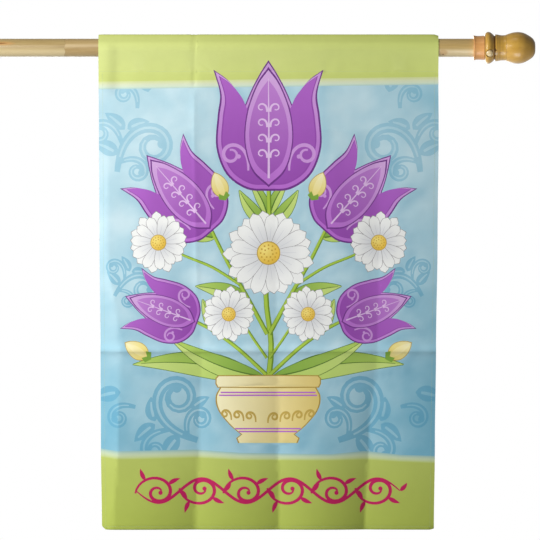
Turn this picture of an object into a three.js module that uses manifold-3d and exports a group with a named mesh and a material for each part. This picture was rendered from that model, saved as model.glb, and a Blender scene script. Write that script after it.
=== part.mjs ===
// A house flag on its wooden pole. The flag is one printed cloth whose top is folded back and stitched
// down into a sleeve, the pole runs through that sleeve, and a turned finial closes the pole's free end.
// Millimetres, +Z up. The origin is the centre of the pole's butt, the pole runs along +X, and the
// printed face of the flag looks along -Y.
import * as THREE from "three";
import { mergeVertices } from "three/addons/utils/BufferGeometryUtils.js";
import Module from "manifold-3d";

// Driving dimensions: overall
const PART_LENGTH = 1422;
const SEAT_GAP = 0.3;
const TURNED_SIDES = 36;

// Driving dimensions: pole
const POLE_DIAMETER = 38.1;
const BUTT_CHAMFER = 2;

// Driving dimensions: collar and finial. Each turned stretch is a smooth curve through its rows.
const COLLAR_LENGTH = 22.2;
const COLLAR_PROFILE = [
  { along: 0, radius: 26.1 },
  { along: 2.2, radius: 26.3 },
  { along: 5.4, radius: 25.2 },
  { along: 12, radius: 24.9 },
  { along: COLLAR_LENGTH, radius: 25.7 },
];
const FINIAL_LENGTH = 107;
const SOCKET_DEPTH = 24;
const FINIAL_BEAD = [
  { along: 0, radius: 25.9 },
  { along: 1.6, radius: 29.3 },
  { along: 4.6, radius: 32.4 },
  { along: 8.8, radius: 33.4 },
  { along: 13.4, radius: 32 },
  { along: 17.6, radius: 28.8 },
  { along: 20.6, radius: 27 },
];
const FINIAL_NECK = [
  { along: 22.4, radius: 28.4 },
  { along: 27, radius: 27.9 },
  { along: 33, radius: 26.7 },
  { along: 39.5, radius: 26.3 },
  { along: 44.6, radius: 26.8 },
];
const FINIAL_BULB = [
  { along: 46, radius: 27.6 },
  { along: 52, radius: 29.7 },
  { along: 60, radius: 32 },
  { along: 70, radius: 33.1 },
  { along: 79, radius: 32.1 },
  { along: 85.4, radius: 30 },
  { along: 92, radius: 26.5 },
  { along: 98, radius: 22.6 },
  { along: 102.8, radius: 18.2 },
  { along: 106.2, radius: 12 },
];

// Driving dimensions: the peg in the bead and the pin hole beside it. Heights are from the pole's axis.
const PEG_ALONG = 12;
const PEG_DROP_DEG = 22;
const PEG_HEAD = { radius: 6.6, brim: 2.2, top: 34.4 };
const PEG_STEM = { radius: 3.4, foot: 21.8 };
const PEG_SEAT = { radius: 8.8, floor: 27.6 };
const PIN_HOLE = { along: 22.4, dropDeg: 13, radius: 2.2, floor: 22.4 };
const DRILL_SIDES = 20;
const DRILL_TOP = 45;

// Driving dimensions: flag
const FLAG_LEFT = 506.7;
const FLAG_WIDTH = 711.4;
const CLOTH = 1.2;
const SLEEVE_CLEARANCE = 0.4;
const SLEEVE_TOP = 27.5;
const SLEEVE_DEPTH = 76;
const FLAG_DROP = 1036.5;
const DRAWN_IN_LEFT = 7.3;
const DRAWN_IN_RIGHT = 10.5;
const CORNER = { rise: 5, width: 8 };

// The flag was packed folded in four across, and it hangs with those creases. A station is a height,
// as a share of the way from the sleeve's stitching to the hem, with the rows of cloth below it.
const STATIONS = [
  { name: "stitching", share: 0, rows: 4 },
  { name: "upper crease", share: 0.128, rows: 5 },
  { name: "middle", share: 0.369, rows: 6 },
  { name: "main crease", share: 0.611, rows: 6 },
  { name: "lower part", share: 0.805, rows: 6 },
  { name: "hem", share: 1, rows: 0 },
];
// Each upright fold line, at each station: where it crosses the width, and how far it lies behind the
// flag's plane. The bulge is how far the cloth from it to the next line arches forward.
const FOLD_LINES = [
  {
    name: "left edge",
    across: [0, 0, 0, 0, 0, 0],
    behind: [0, 1, 3, 4, 5, 6],
    bulge: [0, 0, 0, 0, 0, 0],
    columns: 3,
  },
  {
    name: "edge fold",
    across: [0.05, 0.03, 0.022, 0.057, 0.052, 0.034],
    behind: [0, 0, -1, -3, -3, -2],
    bulge: [0, -1, -1, 2, 8, 10],
    columns: 9,
  },
  {
    name: "first quarter",
    across: [0.287, 0.279, 0.282, 0.301, 0.293, 0.281],
    behind: [0, -3, -4, 2, 8, 10],
    bulge: [0, -1, 0, 4, 8, 10],
    columns: 9,
  },
  {
    name: "half",
    across: [0.515, 0.515, 0.52, 0.528, 0.531, 0.532],
    behind: [0, 1, 2, 3, 6, 7],
    bulge: [0, 1, 2, 5, 9, 11],
    columns: 9,
  },
  {
    name: "third quarter",
    across: [0.8, 0.81, 0.826, 0.825, 0.802, 0.791],
    behind: [0, 0, 3, 6, 9, 11],
    bulge: [0, 1, 1, 4, 6, 7],
    columns: 8,
  },
  {
    name: "right edge",
    across: [1, 1, 1, 1, 1, 1],
    behind: [0, 1, 2, 4, 5, 6],
    bulge: [0, 0, 0, 0, 0, 0],
    columns: 0,
  },
];
// Each level crease: its height, how far it stands forward, and how far up and down it slopes away.
const LEVEL_CREASES = [
  { share: 0.128, forward: 1.6, reach: 0.1 },
  { share: 0.611, forward: 6, reach: 0.13 },
];

const CLOTH_FINISH = { color: 0x9fcbdc, roughness: 0.75, metalness: 0 };
const POLE_FINISH = { color: 0xbfa26e, roughness: 0.55, metalness: 0 };
const COLLAR_FINISH = { color: 0xd49a5e, roughness: 0.4, metalness: 0 };
const FINIAL_FINISH = { color: 0xb08a45, roughness: 0.3, metalness: 0 };
const PEG_FINISH = { color: 0xcbb074, roughness: 0.3, metalness: 0 };

const POLE_RADIUS = POLE_DIAMETER / 2;
const BORE_RADIUS = POLE_RADIUS + SEAT_GAP;
const FINIAL_START = PART_LENGTH - FINIAL_LENGTH;
const COLLAR_START = FINIAL_START - SEAT_GAP - COLLAR_LENGTH;
const POLE_LENGTH = FINIAL_START + SOCKET_DEPTH - SEAT_GAP;
const STITCH_Z = SLEEVE_TOP - SLEEVE_DEPTH;
const HEM_Z = SLEEVE_TOP - FLAG_DROP;

const { lerp, smoothstep, degToRad } = THREE.MathUtils;
const wasm = await Module();
wasm.setup();

function named(name, geometry, finish) {
  const mesh = new THREE.Mesh(geometry, new THREE.MeshStandardMaterial(finish));
  mesh.name = name;
  return mesh;
}

// Turned pieces are made about +Y, from profile points given as radius and height.
function turned(points, sides = TURNED_SIDES) {
  return new THREE.LatheGeometry(points, sides);
}

function at(radius, along) {
  return new THREE.Vector2(radius, along);
}

function smoothStretch(rows, steps) {
  return new THREE.SplineCurve(rows.map(({ along, radius }) => at(radius, along))).getPoints(steps);
}

function solidFrom(geometry) {
  const bare = geometry.clone();
  bare.deleteAttribute("normal");
  bare.deleteAttribute("uv");
  const merged = mergeVertices(bare, 1e-4);
  return new wasm.Manifold(
    new wasm.Mesh({
      numProp: 3,
      vertProperties: merged.attributes.position.array,
      triVerts: new Uint32Array(merged.index.array),
    }),
  );
}

function geometryFrom(solid) {
  const mesh = solid.getMesh();
  const geometry = new THREE.BufferGeometry();
  geometry.setAttribute("position", new THREE.BufferAttribute(mesh.vertProperties, 3));
  geometry.setIndex(new THREE.BufferAttribute(mesh.triVerts, 1));
  geometry.computeVertexNormals();
  return geometry;
}

// Pole: a dowel with an eased butt.
function poleGeometry() {
  return turned([
    at(0, 0),
    at(POLE_RADIUS - BUTT_CHAMFER, 0),
    at(POLE_RADIUS, BUTT_CHAMFER),
    at(POLE_RADIUS, POLE_LENGTH),
    at(0, POLE_LENGTH),
  ]);
}

// Collar: a turned ring on the pole, its lip towards the flag.
function collarGeometry() {
  const outside = smoothStretch(COLLAR_PROFILE, 8);
  return turned([...outside, at(BORE_RADIUS, COLLAR_LENGTH), at(BORE_RADIUS, 0), outside[0]]);
}

// With +Y along the pole, +X is the front of the flag and +Z is up. This lays what is built along +Y out
// of the front, dropped below the level by an angle.
function outOfTheFront(along, dropDeg) {
  const drop = degToRad(dropDeg);
  const outwards = new THREE.Vector3(Math.cos(drop), 0, -Math.sin(drop));
  const turn = new THREE.Quaternion().setFromUnitVectors(new THREE.Vector3(0, 1, 0), outwards);
  return new THREE.Matrix4().compose(new THREE.Vector3(0, along, 0), turn, new THREE.Vector3(1, 1, 1));
}

function drilledHole(along, dropDeg, radius, floor) {
  const length = DRILL_TOP - floor;
  const bit = new THREE.CylinderGeometry(radius, radius, length, DRILL_SIDES);
  bit.translate(0, floor + length / 2, 0);
  return solidFrom(bit.applyMatrix4(outOfTheFront(along, dropDeg)));
}

// Finial: socket, bead, neck and bulb, with the peg's seat, its stem hole and the pin hole drilled in.
function finialGeometry() {
  const socket = [at(0, SOCKET_DEPTH), at(BORE_RADIUS, SOCKET_DEPTH), at(BORE_RADIUS, 0)];
  const outside = [
    ...smoothStretch(FINIAL_BEAD, 11),
    ...smoothStretch(FINIAL_NECK, 6),
    ...smoothStretch(FINIAL_BULB, 15),
    at(0, FINIAL_LENGTH),
  ];
  const stemHole = { radius: PEG_STEM.radius + SEAT_GAP, floor: PEG_STEM.foot - SEAT_GAP };
  const body = solidFrom(turned([...socket, ...outside]))
    .subtract(drilledHole(PEG_ALONG, PEG_DROP_DEG, PEG_SEAT.radius, PEG_SEAT.floor))
    .subtract(drilledHole(PEG_ALONG, PEG_DROP_DEG, stemHole.radius, stemHole.floor))
    .subtract(drilledHole(PIN_HOLE.along, PIN_HOLE.dropDeg, PIN_HOLE.radius, PIN_HOLE.floor));
  return geometryFrom(body);
}

// Peg: a stem and a domed head that sits on the floor of its seat.
function pegGeometry() {
  const headFoot = PEG_SEAT.floor + SEAT_GAP;
  const brim = headFoot + PEG_HEAD.brim;
  const dome = new THREE.EllipseCurve(0, brim, PEG_HEAD.radius, PEG_HEAD.top - brim, 0, Math.PI / 2);
  return turned(
    [
      at(0, PEG_STEM.foot),
      at(PEG_STEM.radius, PEG_STEM.foot),
      at(PEG_STEM.radius, headFoot),
      at(PEG_HEAD.radius, headFoot),
      ...dome.getPoints(6).slice(0, -1),
      at(0, PEG_HEAD.top),
    ],
    DRILL_SIDES,
  );
}

// A fold table's value at a height, eased from one station to the next.
function atShare(values, share) {
  let below = 1;
  while (share > STATIONS[below].share) below++;
  const eased = smoothstep(share, STATIONS[below - 1].share, STATIONS[below].share);
  return lerp(values[below - 1], values[below], eased);
}

// How far the level creases stand forward at a height.
function creaseForward(share) {
  const forward = LEVEL_CREASES.map(
    (crease) => crease.forward * Math.max(0, 1 - Math.abs(share - crease.share) / crease.reach),
  );
  return forward[0] + forward[1];
}

// A point in the middle of the hanging cloth, part of the way from one fold line to the next.
function hangingPoint({ line, part }, share) {
  const here = FOLD_LINES[line];
  const next = FOLD_LINES[Math.min(line + 1, FOLD_LINES.length - 1)];
  const across = lerp(atShare(here.across, share), atShare(next.across, share), part);
  const behind = lerp(atShare(here.behind, share), atShare(next.behind, share), part);
  const arch = 4 * part * (1 - part) * atShare(here.bulge, share);
  const width = FLAG_WIDTH - (DRAWN_IN_LEFT + DRAWN_IN_RIGHT) * share;
  const fromSide = Math.min(across, 1 - across) * width;
  const cornerRise = share === 1 ? CORNER.rise * Math.max(0, 1 - fromSide / CORNER.width) : 0;
  return new THREE.Vector3(
    FLAG_LEFT + DRAWN_IN_LEFT * share + across * width,
    behind - arch - creaseForward(share),
    lerp(STITCH_Z, HEM_Z, share) + cornerRise,
  );
}

// The sleeve's section from front to back, as places on the middle of the cloth with their normals: up
// from the stitching, tangent to the pole, round it, and off it again to a creased crest.
function sleeveSection() {
  const straightSteps = 4;
  const roundSteps = 8;
  const radius = POLE_RADIUS + SLEEVE_CLEARANCE + CLOTH / 2;
  const crest = SLEEVE_TOP - CLOTH / 2;
  const offCrest = Math.acos(radius / crest);
  const offStitch = Math.PI - Math.acos(radius / -STITCH_Z);
  const onPole = (angle) => {
    const normal = new THREE.Vector2(-Math.sin(angle), Math.cos(angle));
    return { place: normal.clone().multiplyScalar(radius), normal };
  };
  const front = [];
  for (let i = 1; i < straightSteps; i++) {
    const { place, normal } = onPole(offStitch);
    front.push({ place: new THREE.Vector2(0, STITCH_Z).lerp(place, i / straightSteps), normal });
  }
  for (let i = 0; i <= roundSteps; i++) front.push(onPole(lerp(offStitch, offCrest, i / roundSteps)));
  const mirrored = (v) => new THREE.Vector2(-v.x, v.y);
  const back = front
    .toReversed()
    .map(({ place, normal }) => ({ place: mirrored(place), normal: mirrored(normal) }));
  const top = { place: new THREE.Vector2(0, crest), normal: new THREE.Vector2(0, 1) };
  return [...front, top, ...back];
}

// Columns stand along the fold lines and between them, and rows lie at the stations and between them.
function clothColumns() {
  const columns = FOLD_LINES.flatMap(({ columns: steps }, line) =>
    Array.from({ length: steps }, (_, i) => ({ line, part: i / steps })),
  );
  return [...columns, { line: FOLD_LINES.length - 1, part: 0 }];
}

function clothShares() {
  const shares = STATIONS.flatMap(({ share, rows }, i) =>
    Array.from({ length: rows }, (_, row) => lerp(share, STATIONS[i + 1].share, row / rows)),
  );
  return [...shares, 1];
}

// The flag. Each column is a section of the cloth: its outside runs up the front, over the sleeve and
// down the back, and the sleeve's hollow runs round from the crotch just above the stitching.
function flagGeometry() {
  const points = [];
  const faces = [];
  const face = (...ids) => {
    for (let i = 2; i < ids.length; i++) faces.push(ids[0], ids[i - 1], ids[i]);
  };
  const keep = (list) => list.map((point) => points.push(point) - 1);

  const shares = clothShares();
  const sleeve = sleeveSection();
  const half = CLOTH / 2;
  const crotchZ = STITCH_Z + 2 * CLOTH;
  const sections = clothColumns().map((column) => {
    const hanging = shares.map((share) => hangingPoint(column, share));
    const x = hanging[0].x;
    const hungAt = (side) => hanging.map(({ x, y, z }) => new THREE.Vector3(x, y + side * half, z));
    const roundAt = (side) =>
      sleeve.map(({ place, normal }) => {
        const { x: y, y: z } = place.clone().addScaledVector(normal, side * half);
        return new THREE.Vector3(x, y, z);
      });
    const front = keep(hungAt(-1));
    const over = keep(roundAt(1));
    const back = keep(hungAt(1));
    const hollow = keep([new THREE.Vector3(x, 0, crotchZ), ...roundAt(-1)]);
    return { front, over, back, hollow, outside: [...front.toReversed(), ...over, ...back] };
  });

  for (let k = 1; k < sections.length; k++) {
    const left = sections[k - 1];
    const right = sections[k];
    left.outside.forEach((id, i) => {
      const next = (i + 1) % left.outside.length;
      face(id, right.outside[i], right.outside[next], left.outside[next]);
    });
    left.hollow.forEach((id, i) => {
      const next = (i + 1) % left.hollow.length;
      face(id, left.hollow[next], right.hollow[next], right.hollow[i]);
    });
  }

  // The cut edge of the cloth at each side of the flag, seen end on.
  const sideEdge = ({ front, over, back, hollow }, turn) => {
    for (let j = 1; j < front.length; j++)
      face(...turn([front[j - 1], front[j], back[j], back[j - 1]]));
    const outer = [front[0], ...over, back[0]];
    const inner = [...hollow, hollow[0]];
    for (let i = 1; i < outer.length; i++)
      face(...turn([outer[i - 1], inner[i - 1], inner[i], outer[i]]));
    face(...turn([front[0], back[0], hollow[0]]));
  };
  sideEdge(sections[0], (ids) => ids.toReversed());
  sideEdge(sections.at(-1), (ids) => ids);

  const geometry = new THREE.BufferGeometry().setFromPoints(points);
  geometry.setIndex(faces);
  geometry.computeVertexNormals();
  return geometry;
}

// Assembly. The turned pieces are laid along +X.
const flagOnPole = new THREE.Group();
flagOnPole.add(named("flag_cloth", flagGeometry(), CLOTH_FINISH));

const turnedPieces = new THREE.Group();
turnedPieces.rotation.z = -Math.PI / 2;
flagOnPole.add(turnedPieces);
turnedPieces.add(named("flag_pole", poleGeometry(), POLE_FINISH));

const collar = named("finial_collar", collarGeometry(), COLLAR_FINISH);
collar.position.y = COLLAR_START;
turnedPieces.add(collar);

const finial = named("finial", finialGeometry(), FINIAL_FINISH);
finial.position.y = FINIAL_START;
turnedPieces.add(finial);

const peg = named("finial_peg", pegGeometry(), PEG_FINISH);
peg.applyMatrix4(outOfTheFront(FINIAL_START + PEG_ALONG, PEG_DROP_DEG));
turnedPieces.add(peg);

export default flagOnPole;
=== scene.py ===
import math

import bpy
import numpy as np
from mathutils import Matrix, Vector, geometry, kdtree, noise


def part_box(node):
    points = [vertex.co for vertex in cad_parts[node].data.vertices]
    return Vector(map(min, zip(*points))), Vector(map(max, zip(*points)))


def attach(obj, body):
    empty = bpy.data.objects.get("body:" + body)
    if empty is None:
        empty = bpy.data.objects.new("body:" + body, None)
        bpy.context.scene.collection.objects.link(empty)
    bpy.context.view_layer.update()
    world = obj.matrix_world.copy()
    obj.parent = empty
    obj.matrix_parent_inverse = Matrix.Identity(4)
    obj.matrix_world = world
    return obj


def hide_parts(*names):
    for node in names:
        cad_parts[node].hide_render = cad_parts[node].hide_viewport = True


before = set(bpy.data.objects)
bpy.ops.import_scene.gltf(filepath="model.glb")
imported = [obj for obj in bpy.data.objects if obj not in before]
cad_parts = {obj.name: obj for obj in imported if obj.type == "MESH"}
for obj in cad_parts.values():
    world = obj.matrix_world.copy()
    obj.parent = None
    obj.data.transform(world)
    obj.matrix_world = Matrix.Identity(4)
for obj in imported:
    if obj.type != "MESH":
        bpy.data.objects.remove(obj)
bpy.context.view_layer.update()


# The studio. A long lens looks square on at the printed face, level with the middle of the flag. A
# broad soft lamp stands on the left, with weaker ones above, on the right and behind, and small ones on
# the finial. The surround is white over a plain pale floor, and both are dim to diffuse light.
VIEW_CENTRE = Vector((0.866, 0.0, -0.4656))
VIEW_WIDTH = 1.1316
VIEW_DISTANCE = 12.0
FLOOR_Z = -1.9
FLOOR_RADIUS = 7.5


def node(tree, kind, values=None, links=None, **settings):
    """Adds a shader node, with its settings, its sockets' values and what feeds its sockets."""
    made = tree.nodes.new(kind)
    for name, value in settings.items():
        setattr(made, name, value)
    for socket, value in (values or {}).items():
        made.inputs[socket].default_value = value
    for socket, source in (links or {}).items():
        tree.links.new(source, made.inputs[socket])
    return made


def new_material(name):
    """A material with an empty tree but for its output: (material, tree, output)."""
    material = bpy.data.materials.new(name)
    material.use_nodes = True
    tree = material.node_tree
    tree.nodes.clear()
    return material, tree, tree.nodes.new("ShaderNodeOutputMaterial")


def to_linear(inks):
    """Colours read off as 0 to 255 in sRGB, as the linear ones that sockets and attributes take."""
    shares = np.array(inks, float) / 255
    return np.where(shares <= 0.04045, shares / 12.92, ((shares + 0.055) / 1.055) ** 2.4)


def linear(*ink):
    """One such colour, with its alpha."""
    return (*to_linear(ink), 1.0)


camera_data = bpy.data.cameras.new("camera")
camera_data.lens = camera_data.sensor_width * VIEW_DISTANCE / VIEW_WIDTH
camera = bpy.data.objects.new("camera", camera_data)
camera.location = VIEW_CENTRE - Vector((0, VIEW_DISTANCE, 0))
camera.rotation_euler = (math.radians(90), 0, 0)
bpy.context.scene.collection.objects.link(camera)
bpy.context.scene.camera = camera
bpy.context.scene.view_settings.view_transform = "Standard"

world = bpy.data.worlds.new("studio_surround")
world.use_nodes = True
surround = world.node_tree
surround.nodes.clear()
light_path = node(surround, "ShaderNodeLightPath").outputs
ambient = node(surround, "ShaderNodeBackground", {"Color": (1, 1, 1, 1), "Strength": 0.07})
reflected = node(surround, "ShaderNodeBackground", {"Color": (1, 1, 1, 1), "Strength": 0.35})
seen_white = node(surround, "ShaderNodeBackground", {"Color": (1, 1, 1, 1), "Strength": 1.0})
lighting = node(surround, "ShaderNodeMixShader", links={
    0: light_path["Is Glossy Ray"], 1: ambient.outputs[0], 2: reflected.outputs[0]
})
either = node(surround, "ShaderNodeMixShader", links={
    0: light_path["Is Camera Ray"], 1: lighting.outputs[0], 2: seen_white.outputs[0]
})
node(surround, "ShaderNodeOutputWorld", links={"Surface": either.outputs[0]})
bpy.context.scene.world = world


def soft_lamp(name, place, aim, size, power, spread=180):
    """A square soft box at a place, facing a point, its light held within a spread of degrees."""
    lamp_data = bpy.data.lights.new(name, "AREA")
    lamp_data.size = size
    lamp_data.energy = power
    lamp_data.spread = math.radians(spread)
    lamp = bpy.data.objects.new(name, lamp_data)
    lamp.location = place
    lamp.visible_camera = False
    lamp.rotation_euler = (Vector(aim) - Vector(place)).to_track_quat("-Z", "Y").to_euler()
    bpy.context.scene.collection.objects.link(lamp)


soft_lamp("key_lamp", (-1.35, -1.72, 0.35), (0.86, 0, -0.4), 1.4, 101)
soft_lamp("top_lamp", (0.75, -1.0, 2.1), (0.9, 0, -0.3), 1.2, 3)
soft_lamp("fill_lamp", (2.9, -2.8, -0.2), (0.95, 0, -0.4), 1.8, 3)
soft_lamp("back_lamp", (0.2, 3.0, -0.4), (0.87, 0, -0.45), 2.2, 45)
soft_lamp("front_spark", (0.753, -0.988, 0.29), (1.38, 0, 0.0), 0.32, 0.008, 12)
soft_lamp("upper_spark", (1.15, -0.48, 1.19), (1.38, 0, 0.0), 0.3, 0.005, 12)
soft_lamp("finial_card", (1.37, -0.24, -0.34), (1.378, 0, 0.0), 0.24, 0.075, 50)

bpy.ops.object.select_all(action="DESELECT")
bpy.ops.mesh.primitive_circle_add(
    vertices=96, radius=FLOOR_RADIUS, fill_type="NGON", location=(VIEW_CENTRE.x, 0, FLOOR_Z)
)
floor = bpy.context.active_object
floor.name = "studio_floor"
floor_paint, tree, output = new_material("studio_floor")
pale_floor = node(tree, "ShaderNodeBsdfPrincipled", {
    "Base Color": (0.86, 0.86, 0.85, 1), "Roughness": 0.7, "Emission Color": (1, 1, 1, 1),
    "Emission Strength": 0.5
})
dim_floor = node(tree, "ShaderNodeBsdfPrincipled", {"Base Color": (0.5, 0.5, 0.5, 1), "Roughness": 0.9})
floor_path = node(tree, "ShaderNodeLightPath")
floor_surface = node(tree, "ShaderNodeMixShader", links={
    0: floor_path.outputs["Is Diffuse Ray"],
    1: pale_floor.outputs[0],
    2: dim_floor.outputs[0],
})
tree.links.new(floor_surface.outputs[0], output.inputs["Surface"])
floor.data.materials.append(floor_paint)


# The pole: a round pine dowel, glued up from finger-jointed lengths and clear-varnished. It runs from
# its butt, through the flag's sleeve, into the finial's socket.
POLE_RADIUS = 0.01905
BUTT_CHAMFER = 0.002
pole_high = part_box("flag_pole")[1]
FIRST_JOINT = 0.4352
SECOND_JOINT = 0.93


def turn_on_lathe(name, profile, sides=96):
    """A piece turned about X: its profile of (along, radius) is drawn point by point, then spun."""
    bpy.ops.object.select_all(action="DESELECT")
    bpy.ops.mesh.primitive_plane_add(size=POLE_RADIUS)
    piece = bpy.context.active_object
    piece.name = name
    piece.data.name = name
    bpy.ops.object.mode_set(mode="EDIT")
    bpy.ops.mesh.select_all(action="SELECT")
    bpy.ops.mesh.merge(type="CENTER")
    bpy.ops.transform.translate(value=(profile[0][0], 0, profile[0][1]))
    for (along, radius), (next_along, next_radius) in zip(profile, profile[1:]):
        step = (next_along - along, 0, next_radius - radius)
        bpy.ops.mesh.extrude_region_move(TRANSFORM_OT_translate={"value": step})
    bpy.ops.mesh.select_all(action="SELECT")
    bpy.ops.mesh.spin(steps=sides, angle=math.tau, center=(0, 0, 0), axis=(1, 0, 0))
    bpy.ops.mesh.select_all(action="SELECT")
    bpy.ops.mesh.remove_doubles(threshold=1e-6)
    bpy.ops.mesh.normals_make_consistent(inside=False)
    bpy.ops.object.mode_set(mode="OBJECT")
    bpy.ops.object.shade_smooth_by_angle(angle=math.radians(30))
    return piece


def feed(tree, socket, source):
    """Feeds a socket from another one, or with a fixed value."""
    if isinstance(source, bpy.types.NodeSocket):
        tree.links.new(source, socket)
    else:
        socket.default_value = source


def mixed(tree, factor, first, second):
    """A colour between two, by a factor. Each is a socket or a fixed value."""
    mix = node(tree, "ShaderNodeMix", data_type="RGBA")
    for socket, source in ((mix.inputs[0], factor), (mix.inputs[6], first), (mix.inputs[7], second)):
        feed(tree, socket, source)
    return mix.outputs[2]


def maths(tree, operation, first, second):
    """One arithmetic step between sockets or numbers."""
    step = node(tree, "ShaderNodeMath", operation=operation)
    feed(tree, step.inputs[0], first)
    feed(tree, step.inputs[1], second)
    return step.outputs[0]


def ramp(tree, value, low, high):
    """0 below low and 1 above high, smooth between. High may lie below low."""
    stepped = node(tree, "ShaderNodeMapRange", {"From Min": low, "From Max": high}, {"Value": value},
                   interpolation_type="SMOOTHSTEP")
    return stepped.outputs[0]


def surface_group(name, inputs):
    """An empty group that makes a colour, a roughness and a height: (group, what it is given)."""
    group = bpy.data.node_groups.new(name, "ShaderNodeTree")
    outputs = {"Color": "Color", "Roughness": "Float", "Height": "Float"}
    for way, sockets in (("INPUT", inputs), ("OUTPUT", outputs)):
        for socket, kind in sockets.items():
            group.interface.new_socket(socket, in_out=way, socket_type="NodeSocket" + kind)
    return group, group.nodes.new("NodeGroupInput").outputs


def wood_grain():
    """A group: grain along X, as growth rings cut lengthways, fibres, pores and slow drifts of tone."""
    group, given = surface_group("wood_grain", {
        "Shift": "Vector", "Pale": "Color", "Dark": "Color", "Rings": "Float", "Ring Depth": "Float"
    })
    place = node(group, "ShaderNodeTexCoord").outputs["Object"]
    moved = node(group, "ShaderNodeVectorMath", links={0: place, 1: given["Shift"]}).outputs[0]

    def stretched(scale, detail, distortion=0.0):
        """Noise that runs along the grain."""
        mapped = node(group, "ShaderNodeMapping", {"Scale": scale}, {"Vector": moved})
        return node(group, "ShaderNodeTexNoise", {
            "Scale": 1.0, "Detail": detail, "Roughness": 0.55, "Distortion": distortion
        }, {"Vector": mapped.outputs[0]})

    sway = stretched((3.5, 28, 28), 2.0).outputs["Color"]
    bent = node(group, "ShaderNodeVectorMath", {"Scale": 0.012}, {0: sway}, operation="SCALE")
    ringed = node(group, "ShaderNodeVectorMath", links={0: moved, 1: bent.outputs[0]})
    turned = node(group, "ShaderNodeMapping", {"Rotation": (0.5, 0, 0)}, {"Vector": ringed.outputs[0]})
    rings = node(group, "ShaderNodeTexWave", {
        "Distortion": 1.5, "Detail": 2.0, "Detail Scale": 0.6
    }, {"Vector": turned.outputs[0], "Scale": given["Rings"]},
        wave_type="BANDS", bands_direction="Z", wave_profile="SAW").outputs["Fac"]
    fibres = stretched((14, 900, 900), 3.0).outputs["Fac"]
    pores = stretched((40, 2600, 2600), 1.0).outputs["Fac"]
    drift = stretched((5, 60, 60), 3.0, 0.4).outputs["Fac"]
    shade = maths(group, "MULTIPLY", rings, given["Ring Depth"])
    shade = maths(group, "ADD", shade, maths(group, "MULTIPLY", fibres, 0.42))
    shade = maths(group, "ADD", shade, maths(group, "MULTIPLY", drift, 0.75))
    spread = node(group, "ShaderNodeMapRange", {"From Min": 0.5, "From Max": 1.0}, {"Value": shade})
    tone = mixed(group, spread.outputs[0], given["Pale"], given["Dark"])
    pored = node(group, "ShaderNodeMapRange", {
        "From Min": 0.62, "From Max": 0.74, "To Min": 1.0, "To Max": 0.8
    }, {"Value": pores})
    wood = node(group, "ShaderNodeVectorMath", links={0: tone, "Scale": pored.outputs[0]},
                operation="SCALE")
    gloss = node(group, "ShaderNodeMapRange", {"To Min": 0.34, "To Max": 0.5}, {"Value": fibres})
    node(group, "NodeGroupOutput", links={
        "Color": wood.outputs[0], "Roughness": gloss.outputs[0], "Height": shade
    })
    return group


grain = wood_grain()


def varnished(tree, output, colour, roughness, height, coat, coat_roughness, relief=0.00006):
    """Wires up varnished wood from a colour, a roughness and a grain height."""
    bump = node(tree, "ShaderNodeBump", {"Strength": 0.5, "Distance": relief}, {"Height": height})
    surface = node(tree, "ShaderNodeBsdfPrincipled", {
        "Coat Weight": coat, "Coat Roughness": coat_roughness, "Specular IOR Level": 0.35
    }, {"Base Color": colour, "Roughness": roughness, "Normal": bump.outputs[0]})
    tree.links.new(surface.outputs[0], output.inputs["Surface"])


def grained(tree, shift, pale, dark, rings, ring_depth):
    """The grain group in a material: its outputs, for one piece's colours and rings."""
    made = node(tree, "ShaderNodeGroup", node_tree=grain)
    for name, value in (("Shift", shift), ("Pale", linear(*pale)), ("Dark", linear(*dark)),
                        ("Rings", rings), ("Ring Depth", ring_depth)):
        made.inputs[name].default_value = value
    return made.outputs


def spotted(tree, wood, spots):
    """Lays dark streaks and spots over the front of a piece, each an ellipse along X and Z."""
    place = node(tree, "ShaderNodeTexCoord").outputs["Object"]
    x, y, z = node(tree, "ShaderNodeSeparateXYZ", links={0: place}).outputs
    front = ramp(tree, y, -0.002, -0.006)
    for spot in spots:
        along = maths(tree, "DIVIDE", maths(tree, "SUBTRACT", x, spot["at"][0]), spot["reach"][0])
        up = maths(tree, "DIVIDE", maths(tree, "SUBTRACT", z, spot["at"][1]), spot["reach"][1])
        squares = maths(tree, "ADD", maths(tree, "MULTIPLY", along, along),
                        maths(tree, "MULTIPLY", up, up))
        mask = maths(tree, "MULTIPLY", ramp(tree, squares, 1.0, 0.15), front)
        wood = mixed(tree, maths(tree, "MULTIPLY", mask, spot["strength"]), wood, linear(*spot["colour"]))
    return wood


POLE_SPOTS = [
    {"at": (0.302, 0.0085), "reach": (0.036, 0.0052), "colour": (186, 140, 82), "strength": 0.7},
    {"at": (0.296, 0.0088), "reach": (0.024, 0.0019), "colour": (124, 78, 28), "strength": 0.9},
    {"at": (1.2285, -0.0105), "reach": (0.012, 0.0075), "colour": (198, 150, 84), "strength": 0.55},
    {"at": (1.2285, -0.0145), "reach": (0.0022, 0.0015), "colour": (112, 70, 34), "strength": 0.9},
]


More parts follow.
